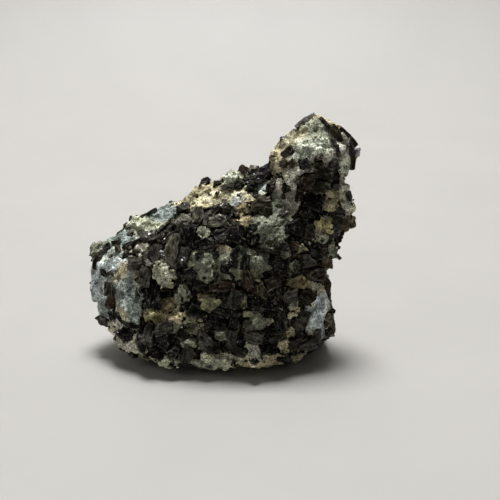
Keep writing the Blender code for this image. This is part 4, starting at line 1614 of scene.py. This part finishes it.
def finished(name: str, shape: bmesh.types.BMesh, material: bpy.types.Material) -> bpy.types.Object:
    """Makes a piece of the rock from a shape in millimetres. It stays within the solid's box.

    Args:
        name: the piece's name.
        shape: its shape, which is freed.
        material: its finish.

    Returns:
        The piece.
    """
    rested(shape)
    shape.transform(Matrix.Scale(MM, 4))
    low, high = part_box(NODE)
    for vert in shape.verts:
        vert.co = [min(max(value, least), most) for value, least, most in zip(vert.co, low, high)]
    bmesh.ops.recalc_face_normals(shape, faces=shape.faces)
    piece = object_of(name, shape)
    piece.data.materials.append(material)
    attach(piece, BODY)
    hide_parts(NODE)
    LOG.info("%s: %d faces", name, len(piece.data.polygons))
    return piece


@dataclass
class SetCrystals:
    """The crystals and grains that the solid has too, in the same places.

    Args:
        tree: the surface that they are set in.
        seed: start of the dice for shapes and for the wild ones, which are spread all round.
        tint_seed: start of the dice for tints.
        tries: how many places are tried for the wild ones.
        wild_count: how many wild ones there are.
        wild_long: their least and greatest length.
        wild_slim: their least and greatest width, as a share of the length.
        wild_proud: how far they stand out, least and most.
        wild_lean: how far they lean.
        wild_targets: the box inside the rock at which they are aimed, as a range along each axis.
        bare_reach: how much of a bare area's longer and of its shorter half size keeps them off.
        least_height: how far above the resting face they stay.
        room: how near to others they come, as a share of the lengths.
        on_bare_share: the chance that one is kept in a bare area.
        round_share: the share of round ones.
        front_lean: how far those of the front lean.
        towards_viewer: how far those of the front are turned towards the viewer.
        seam_overlap: length of a seam's blades, as a share of the way that each covers.
        seam_proud: how far the seams stand out.
        step: the longest edge that is left on a crystal.
        depth: how uneven the crystals are.
        full_width: the width from which they are as uneven as that.
        dark: the dark crystals, which grow fills in.
        pale: the pale grains, which grow fills in.
        taken: the middles and lengths of all of them, which grow fills in.
    """

    tree: BVHTree
    seed: int = 11
    tint_seed: int = 5
    tries: int = 4000
    wild_count: int = 50
    wild_long: Range = (5.0, 9.0)
    wild_slim: Range = (0.5, 0.85)
    wild_proud: Range = (0.5, 1.5)
    wild_lean: float = 0.2
    wild_targets: tuple[Range, Range, Range] = ((-40, 38), (-10, 16), (6, 60))
    bare_reach: Range = (0.8, 0.2)
    least_height: float = 1.5
    room: float = 0.5
    on_bare_share: float = 0.06
    round_share: float = 0.3
    front_lean: float = 0.22
    towards_viewer: float = 0.8
    seam_overlap: float = 1.15
    seam_proud: float = 0.45
    step: float = 0.9
    depth: float = 0.7
    full_width: float = 4.5
    dark: bmesh.types.BMesh = field(default_factory=bmesh.new)
    pale: bmesh.types.BMesh = field(default_factory=bmesh.new)
    taken: list[tuple[Vector, float]] = field(default_factory=list)

    def grow(self) -> None:
        """Makes all the crystals and grains."""
        dice = random.Random(self.seed)
        tint_dice = random.Random(self.tint_seed)
        pale = set(GRAINS)
        for growth in (*CRYSTALS, *GRAINS, *self.seam_growths()):
            shape, place = self.seen(growth, dice)
            self.taken.append((place.translation.copy(), growth.long))
            if growth in pale:
                add(self.pale, shape, place)
            else:
                self.add_dark(shape, place, growth.tint, tint_dice)
        for shape, place in self.wild(dice):
            self.add_dark(shape, place, None, tint_dice)

    def add_dark(
        self, shape: bmesh.types.BMesh, place: Matrix, tint: Tint | None, tint_dice: random.Random
    ) -> None:
        """Adds a dark crystal.

        Args:
            shape: its shape, before it is set in place.
            place: where it goes.
            tint: its colour, or None for one that the dice choose.
            tint_dice: the source of chance.
        """
        colour = dark_colour(tint_dice, tint)
        shift = jitter(tint_dice, PATTERN_REACH)
        depth = self.depth * min(1, min(self.widths(shape)) / self.full_width)
        add(self.dark, marked(roughened(shape, self.step, depth, shift), colour, shift), place)

    @staticmethod
    def widths(shape: bmesh.types.BMesh) -> tuple[float, float]:
        """A crystal's length and width."""
        return tuple(max(vert.co[axis] for vert in shape.verts) * 2 for axis in (0, 1))

    def seen(self, growth: Growth, dice: random.Random) -> tuple[bmesh.types.BMesh, Matrix]:
        """One crystal or grain of the front.

        Args:
            growth: what it is.
            dice: the source of chance.

        Returns:
            Its shape and its place in the rock.
        """
        place, normal = SIGHT.seen_at(self.tree, growth.across, growth.down)
        ray = SIGHT.ray(growth.across, growth.down)
        outward = (normal - ray * self.towards_viewer).normalized() + jitter(dice, self.front_lean)
        tall = height(growth.proud, growth.long, growth.wide)
        shape = crystal(dice, growth.long, growth.wide, tall, growth.form)
        return shape, standing(place, outward, SIGHT.along(growth.turn), growth.proud, tall)

    def seam_growths(self) -> Iterator[Growth]:
        """The seams as chains of blades.

        Yields:
            Each blade.
        """
        for pixels, width in SEAMS:
            for index, (start, end) in enumerate(zip(pixels, pixels[1:])):
                (x0, y0), (x1, y1) = start, end
                turn = math.degrees(math.atan2(y0 - y1, x1 - x0))
                length = math.dist(start, end) * SIGHT.distance / SIGHT.focus
                tint = Tint.OLIVE if index % 2 else Tint.CHARCOAL
                middle = ((x0 + x1) / 2, (y0 + y1) / 2)
                yield Growth(*middle, length * self.seam_overlap, width, turn, self.seam_proud, tint=tint)

    def wild(self, dice: random.Random) -> Iterator[tuple[bmesh.types.BMesh, Matrix]]:
        """Crystals all round the rock, wherever the others and the bare matrix leave room.

        Args:
            dice: the source of chance.

        Yields:
            Each crystal's shape and place.
        """
        longer, shorter = self.bare_reach
        bare = [
            (SIGHT.seen_at(self.tree, across, down)[0], max(long, wide) * longer + min(long, wide) * shorter)
            for across, down, long, wide, _ in BARE
        ]
        kept = 0
        for _ in range(self.tries):
            start = jitter(dice, 1).normalized() * SIGHT.distance
            target = Vector([dice.uniform(*span) for span in self.wild_targets])
            place, normal, _, _ = self.tree.ray_cast(start, (target - start).normalized())
            long = dice.uniform(*self.wild_long)
            wide = long * dice.uniform(*self.wild_slim)
            lean = jitter(dice, 1)
            on_bare_luck = dice.random()
            if place is None or place.z < self.least_height:
                continue
            crowded = any((place - other).length < self.room * (long + size) for other, size in self.taken)
            on_bare = any((place - middle).length < reach + wide / 2 for middle, reach in bare)
            if crowded or (on_bare and on_bare_luck > self.on_bare_share):
                continue
            self.taken.append((place, long))
            kept += 1
            proud = dice.uniform(*self.wild_proud)
            tall = height(proud, long, wide)
            outward = normal + jitter(dice, self.wild_lean)
            form = Form.ROUND if dice.random() < self.round_share else Form.BLOCK
            yield crystal(dice, long, wide, tall, form), standing(place, outward, lean, proud, tall)
            if kept == self.wild_count:
                return


# Tints of the dark crystals that have none of their own, and how common each is.
DARK_TINTS = (
    (Tint.BLACK, 0.36), (Tint.CHARCOAL, 0.22), (Tint.GREEN_BLACK, 0.06), (Tint.BROWN, 0.13),
    (Tint.OLIVE, 0.10), (Tint.GREY, 0.09), (Tint.ASH, 0.04),
)

# Tints of crystals in the rusty parts.
RUSTY_TINTS = (Tint.BROWN, Tint.OLIVE)

# Tints that the pale grains take up.
PALE_TINTS = (Tint.CREAM, Tint.WHITE, Tint.GREY_GREEN, Tint.SMOKY, Tint.BLUE)


def dark_colour(dice: random.Random, tint: Tint | None = None, spread: float = 0.3) -> Colour:
    """The colour of a dark crystal.

    Args:
        dice: the source of chance.
        tint: the colour that it is near, or None for any.
        spread: how much lighter or darker it may be.

    Returns:
        A linear colour.
    """
    tints, weights = zip(*DARK_TINTS)
    chosen = dice.choices(tints, weights)[0] if tint is None else tint
    factor = dice.uniform(1 - spread, 1 + spread)
    return tuple(value * factor for value in chosen.value)


@dataclass
class MatrixCrust:
    """The matrix with its fine relief, and the pale lumps that belong to it.

    Args:
        body: the lump.
        minerals: where each mineral is.
        lumps: shapes of the pale lumps, freed here.
        grain: size of the steps in which they are melted together.
        smoothings: how often that is smoothed.
        gap_depth: how far the dark parts are sunk.
        sunk: how far the pale parts are sunk.
        sugar: the noise of the pale parts.
        pit_depth: depth of the pits in them.
        pit_noise: the noise that places the pits.
        pit_edge: from where to where on that noise a pit falls off.
        mosaic_span: width of the cells of the dark parts.
        mosaic_height: how much the cells differ in height.
        mosaic_middle: the random number at which a cell is level.
        mosaic_crease: depth of the creases between cells.
        mosaic_edge: width of the creases, as a share of a cell.
    """

    body: RockBody
    minerals: MineralMap
    lumps: bmesh.types.BMesh
    grain: float = 0.56
    smoothings: int = 2
    gap_depth: float = 0.7
    sunk: float = 0.15
    sugar: tuple[Layer, ...] = (Layer(0.8, 4.0), Layer(0.36, 1.7, 4), Layer(0.26, 0.95, 8))
    pit_depth: float = 0.8
    pit_noise: Layer = Layer(1, 2.1, 37)
    pit_edge: Range = (0.18, 0.36)
    mosaic_span: float = 3.4
    mosaic_height: float = 0.9
    mosaic_middle: float = 0.6
    mosaic_crease: float = 0.45
    mosaic_edge: float = 0.25

    def shape(self) -> bmesh.types.BMesh:
        """Melts the body and the lumps together, and roughens them.

        Returns:
            The crust in millimetres, with the attributes tint, pale, inside and rust.
        """
        lumpy = self.body.fine()
        add(lumpy, self.lumps)
        crust = melt(lumpy, self.grain, self.smoothings)
        crust.normal_update()
        points = np.array([vert.co[:] for vert in crust.verts])
        normals = np.array([vert.normal[:] for vert in crust.verts])
        colours, inside = self.minerals.at(points, normals)
        pale = smooth_step(-self.minerals.soft / 2, self.minerals.soft / 2, inside)
        moved = points + normals * self.relief(points, pale)[:, None]
        tints = crust.verts.layers.float_color.new("tint")
        pales = crust.verts.layers.float.new("pale")
        insides = crust.verts.layers.float.new("inside")
        rusts = crust.verts.layers.float.new("rust")
        rust = self.minerals.rust(points)
        for vert, place, colour, share, depth, brown in zip(crust.verts, moved, colours, pale, inside, rust):
            vert.co = place
            vert[rusts] = brown
            vert[tints] = (*colour, 1)
            vert[pales] = share
            vert[insides] = depth
        return crust

    def relief(self, points: np.ndarray, pale: np.ndarray) -> np.ndarray:
        """How far the fine surface stands out: sugary where it is pale, a sunken mosaic where it is dark.

        Args:
            points: the places in millimetres, one a row.
            pale: how pale each place is.

        Returns:
            Heights in millimetres.
        """
        sugar = noise_at(points, *self.sugar) - self.sunk
        sugar -= self.pit_depth * smooth_step(*self.pit_edge, noise_at(points, self.pit_noise))
        edges, chances = cells_at(points, self.mosaic_span)
        creases = self.mosaic_crease * (1 - smooth_step(0, self.mosaic_edge, edges))
        mosaic = self.mosaic_height * (chances - self.mosaic_middle) - creases
        return pale * sugar + (1 - pale) * (mosaic - self.gap_depth)


@dataclass
class Scatter:
    """Many small crystals or grains, spread over the crust.

    Args:
        name: the piece's name.
        seed: start of the dice.
        tries: how many places are tried.
        long: least and greatest length in millimetres.
        slim: least and greatest width, as a share of the length.
        proud: least and greatest height above the surface, as a share of the width.
        room: how near to each other they come, as a share of their lengths.
        on_pale: the chance that one is kept where the crust is pale.
        on_dark: the chance that one is kept where the crust is dark.
        lean: how far they lean.
        model: length, width and height of the shapes that are repeated.
        step: the longest edge of those.
        depth: how uneven those are.
        pale_grains: whether they are pale.
        edge_room: how far dark ones keep from a pale patch, as a share of their length.
        border: how far inside a pale patch some still grow, in millimetres.
        cluster_span: how far the clusters on the pale crust are apart, in millimetres.
        cluster_limit: how small they are: no clusters from about 0.6.
        kinds: how many shapes are repeated.
        least_height: how far above the resting face they start.
        short_bias: how much commoner short ones are, where 1 makes all lengths alike.
        taken_room: how near to the large crystals they come, as a share of their length.
        rusty_share: the share of rusty ones in the rusty parts.
        lights: how dark and how light a pale one may be.
        mixed_share: how much of another tint a pale one takes up at most.
    """

    name: str
    seed: int
    tries: int
    long: Range
    slim: Range
    proud: Range
    room: float
    on_pale: float
    on_dark: float
    lean: float
    model: Corner
    step: float
    depth: float
    pale_grains: bool = False
    edge_room: float = 0.3
    border: float = 2.2
    cluster_span: float = 5.0
    cluster_limit: float = 0.18
    kinds: int = 24
    least_height: float = 0.6
    short_bias: float = 1.6
    taken_room: float = 0.3
    rusty_share: float = 0.75
    lights: Range = (0.65, 1.35)
    mixed_share: float = 0.5

    def templates(self, dice: random.Random) -> list[bpy.types.Mesh]:
        """The shapes that are repeated.

        Args:
            dice: the source of chance.

        Returns:
            Their meshes.
        """
        meshes = []
        for index in range(self.kinds):
            shape = crystal(dice, *self.model, Form.ROUND if index % 3 == 0 else Form.BLOCK)
            roughened(shape, self.step, self.depth, jitter(dice, PATTERN_REACH))
            mesh = bpy.data.meshes.new("template")
            shape.to_mesh(mesh)
            shape.free()
            meshes.append(mesh)
        return meshes

    def places(self, surface: "Surface", dice: random.Random) -> Iterator[tuple[int, float]]:
        """The places that are kept.

        Args:
            surface: the crust.
            dice: the source of chance.

        Yields:
            Each place's number on the surface's list, and the crystal's length.
        """
        cell = self.long[1]
        grid: dict[tuple[int, int, int], list[tuple[Vector, float]]] = {}
        for index in surface.sample(self.tries, self.seed):
            point = Vector(surface.points[index])
            long = self.long[0] + (self.long[1] - self.long[0]) * dice.random() ** self.short_bias
            inside = surface.inside[index]
            clustered = noise.noise(point / self.cluster_span) > self.cluster_limit
            if inside > 0:
                chance = self.on_pale * clustered * (inside < self.border)
            else:
                chance = self.on_dark * (inside < -self.edge_room * long)
            if dice.random() > chance or point.z < self.least_height:
                continue
            home = tuple(int(value // cell) for value in point)
            near = [
                other
                for dx in (-1, 0, 1) for dy in (-1, 0, 1) for dz in (-1, 0, 1)
                for other in grid.get((home[0] + dx, home[1] + dy, home[2] + dz), ())
            ]
            if any((point - other).length < self.room * (long + size) for other, size in near):
                continue
            if surface.crowded(point, long * self.taken_room):
                continue
            grid.setdefault(home, []).append((point, long))
            yield index, long

    def shape(self, surface: "Surface") -> bmesh.types.BMesh:
        """Sets them all in place.

        Args:
            surface: the crust.

        Returns:
            Their shapes in millimetres.
        """
        meshes = self.templates(random.Random(self.seed))
        everything = bmesh.new()
        for index, long in self.places(surface, random.Random(self.seed + 1)):
            dice = random.Random(int(index))
            wide = long * dice.uniform(*self.slim)
            proud = wide * dice.uniform(*self.proud)
            tall = height(proud, long, wide)
            shape = bmesh.new()
            shape.from_mesh(dice.choice(meshes))
            sizes = [size / model for size, model in zip((long, wide, tall), self.model)]
            shape.transform(Matrix.Diagonal((*sizes, 1)))
            marked(shape, self.colour(surface, index, dice), jitter(dice, PATTERN_REACH))
            outward = Vector(surface.normals[index]) + jitter(dice, self.lean)
            place = standing(Vector(surface.points[index]), outward, jitter(dice, 1), proud, tall)
            add(everything, shape, place)
        for mesh in meshes:
            bpy.data.meshes.remove(mesh)
        return everything

    def colour(self, surface: "Surface", index: int, dice: random.Random) -> Colour:
        """The colour of one of them.

        Args:
            surface: the crust.
            index: the place's number.
            dice: the source of chance.

        Returns:
            A linear colour.
        """
        if not self.pale_grains:
            rusty = dice.random() < self.rusty_share * surface.rust[index]
            return dark_colour(dice, dice.choice(RUSTY_TINTS) if rusty else None)
        light = dice.uniform(*self.lights)
        own = Vector(surface.colours[index])
        other = Vector(dice.choice(PALE_TINTS).value)
        return tuple(own.lerp(other, dice.uniform(0, self.mixed_share)) * light)


# How far from its middle a large crystal covers the crust, as a share of its length.
COVER_SHARE = 0.22


class Surface:
    """The crust's faces, as places to set crystals on.

    Args:
        crust: the crust's shape, in millimetres.
        taken: the large crystals' middles and lengths.
    """

    def __init__(self, crust: bmesh.types.BMesh, taken: list[tuple[Vector, float]]) -> None:
        """Reads the faces' middles, normals, sizes and colours."""
        tints = crust.verts.layers.float_color["tint"]
        insides = crust.verts.layers.float["inside"]
        rusts = crust.verts.layers.float["rust"]
        corners = [face.verts[0] for face in crust.faces]
        self.points = np.array([face.calc_center_median()[:] for face in crust.faces])
        self.normals = np.array([face.normal[:] for face in crust.faces])
        self.areas = np.array([face.calc_area() for face in crust.faces])
        self.colours = np.array([corner[tints][:3] for corner in corners])
        self.inside = np.array([corner[insides] for corner in corners])
        self.rust = np.array([corner[rusts] for corner in corners])
        self.taken = taken

    def sample(self, count: int, seed: int) -> np.ndarray:
        """Picks faces evenly over the crust.

        Args:
            count: how many.
            seed: start of the dice.

        Returns:
            Their numbers.
        """
        chance = self.areas / self.areas.sum()
        return np.random.default_rng(seed).choice(len(self.areas), count, replace=False, p=chance)

    def crowded(self, point: Vector, reach: float) -> bool:
        """Tells whether a large crystal covers a place.

        Args:
            point: the place.
            reach: how near one may come.

        Returns:
            Whether one comes nearer.
        """
        return any((point - middle).length < reach + COVER_SHARE * long for middle, long in self.taken)


@dataclass(frozen=True)
class Studio:
    """A plain pale floor that sweeps up to a wall, and soft light from above.

    Args:
        half_width: half the floor's width in metres.
        front: how far the floor reaches towards the viewer.
        back: where the floor starts to rise.
        sweep: radius of the sweep.
        wall: height of the wall above the sweep.
        sweep_steps: how many strips the sweep has.
        world: colour of the even light from all round.
        world_strength: its strength.
        key_power: power of the main light in watts.
        key_size: its width.
        key_place: where it is, above and behind the rock.
        fill_power: power of the weak light in watts.
        fill_size: its width.
        fill_place: where it is, on the left.
        aim: where both lights point.
    """

    half_width: float = 1.6
    front: float = 1.4
    back: float = 0.32
    sweep: float = 0.25
    wall: float = 1.0
    sweep_steps: int = 16
    world: Colour = (0.88, 0.88, 0.86)
    world_strength: float = 0.115
    key_power: float = 28.0
    key_size: float = 0.42
    key_place: Corner = (-0.03, 0.31, 1.38)
    fill_power: float = 1.2
    fill_size: float = 0.5
    fill_place: Corner = (-0.95, -0.25, 0.75)
    aim: Corner = (0, 0, 0.04)

    def add_floor(self) -> None:
        """Builds the floor and the wall as one swept sheet."""
        sheet = bmesh.new()
        start = sheet.verts.new((-self.half_width, -self.front, 0))
        turn = sheet.verts.new((-self.half_width, self.back, 0))
        sheet.edges.new((start, turn))
        axis = (-self.half_width, self.back, self.sweep)
        swept = bmesh.ops.spin(
            sheet, geom=[turn], cent=axis, axis=(1, 0, 0), angle=math.pi / 2, steps=self.sweep_steps,
            use_merge=False,
        )
        last = [v for v in swept["geom_last"] if isinstance(v, bmesh.types.BMVert)]
        top = bmesh.ops.extrude_vert_indiv(sheet, verts=last)
        bmesh.ops.translate(sheet, verts=top["verts"], vec=(0, 0, self.wall))
        made = bmesh.ops.extrude_edge_only(sheet, edges=sheet.edges[:])
        side = [v for v in made["geom"] if isinstance(v, bmesh.types.BMVert)]
        bmesh.ops.translate(sheet, verts=side, vec=(2 * self.half_width, 0, 0))
        bmesh.ops.recalc_face_normals(sheet, faces=sheet.faces)
        for face in sheet.faces:
            face.smooth = True
        floor = object_of("floor", sheet)
        floor.data.materials.append(FloorFinish().material())

    def add_area(self, name: str, place: Corner, power: float, size: float) -> None:
        """Adds a square light that faces the rock.

        Args:
            name: its name.
            place: where it is, in metres.
            power: its power in watts.
            size: its width in metres.
        """
        data = bpy.data.lights.new(name, "AREA")
        data.energy = power
        data.size = size
        light = bpy.data.objects.new(name, data)
        light.location = place
        aim = Vector(self.aim) - Vector(place)
        light.rotation_euler = aim.to_track_quat("-Z", "Y").to_euler()
        bpy.context.scene.collection.objects.link(light)

    def add_world(self) -> None:
        """Sets the even light from all round."""
        world = bpy.data.worlds.new("studio")
        world.use_nodes = True
        background = world.node_tree.nodes["Background"]
        background.inputs["Color"].default_value = (*self.world, 1)
        background.inputs["Strength"].default_value = self.world_strength
        bpy.context.scene.world = world

    def build(self) -> None:
        """Sets up the floor and the lights."""
        self.add_floor()
        self.add_area("key", self.key_place, self.key_power, self.key_size)
        self.add_area("fill", self.fill_place, self.fill_power, self.fill_size)
        self.add_world()
        view = bpy.context.scene.view_settings
        view.view_transform = "Standard"


# Starts of the dice for the shapes and for the tints of the smaller growths of the front.
SMALL_SHAPE_SEED = 40
SMALL_TINT_SEED = 6


def hand_set(growths: Sequence[Growth], setter: SetCrystals) -> None:
    """Adds the smaller crystals and grains of the front to the dark ones.

    Args:
        growths: what they are.
        setter: what keeps the crystals.
    """
    dice = random.Random(SMALL_SHAPE_SEED)
    tint_dice = random.Random(SMALL_TINT_SEED)
    for growth in growths:
        shape, place = setter.seen(growth, dice)
        setter.add_dark(shape, place, growth.tint, tint_dice)
        setter.taken.append((place.translation.copy(), growth.long))


# What the dice spread between the crystals that are set one by one.
SCATTERS = (
    Scatter(
        "block_crystals", seed=21, tries=9000, long=(2.6, 5.6), slim=(0.55, 0.9), proud=(0.2, 0.4),
        room=0.34, on_pale=0.0, on_dark=1.0, lean=0.4, model=(4, 2.8, 2.6), step=1.0, depth=0.75,
    ),
    Scatter(
        "fine_crystals", seed=22, tries=16000, long=(0.9, 2.6), slim=(0.55, 0.95), proud=(0.2, 0.45),
        room=0.30, on_pale=0.09, on_dark=1.0, lean=0.4, model=(2, 1.4, 1.4), step=1.3, depth=0.5,
    ),
    Scatter(
        "pale_grains", seed=23, tries=9000, long=(0.6, 1.5), slim=(0.55, 0.95), proud=(0.15, 0.3),
        room=0.34, on_pale=0.15, on_dark=0.14, lean=0.5, model=(1, 0.8, 0.7), step=0.9, depth=0.25,
        pale_grains=True,
    ),
)


def main() -> None:
    """Builds the rock and its setting."""
    logging.basicConfig(level=logging.INFO, format="%(name)s %(message)s")
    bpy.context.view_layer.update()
    noise.seed_set(NOISE_SEED)
    body = RockBody()
    tree = BVHTree.FromBMesh(body.melted())
    crystals = SetCrystals(tree)
    crystals.grow()
    hand_set(SMALL_CRYSTALS + SMALL_GRAINS, crystals)
    minerals = MineralMap(tree)
    crust = MatrixCrust(body, minerals, crystals.pale).shape()
    surface = Surface(crust, crystals.taken)
    crystal_finish = CrystalFinish().material()
    grain_finish = CrystalFinish("pale_grain", dust_share=0.05, gloss=0.5, dull=0.8, glint=0.05).material()
    for scatter in SCATTERS:
        finish = grain_finish if scatter.pale_grains else crystal_finish
        finished(scatter.name, scatter.shape(surface), finish)
    finished("set_crystals", crystals.dark, crystal_finish)
    finished("matrix", crust, MatrixFinish().material())
    Studio().build()
    SIGHT.add_camera()


if __name__ == "__main__":
    main()
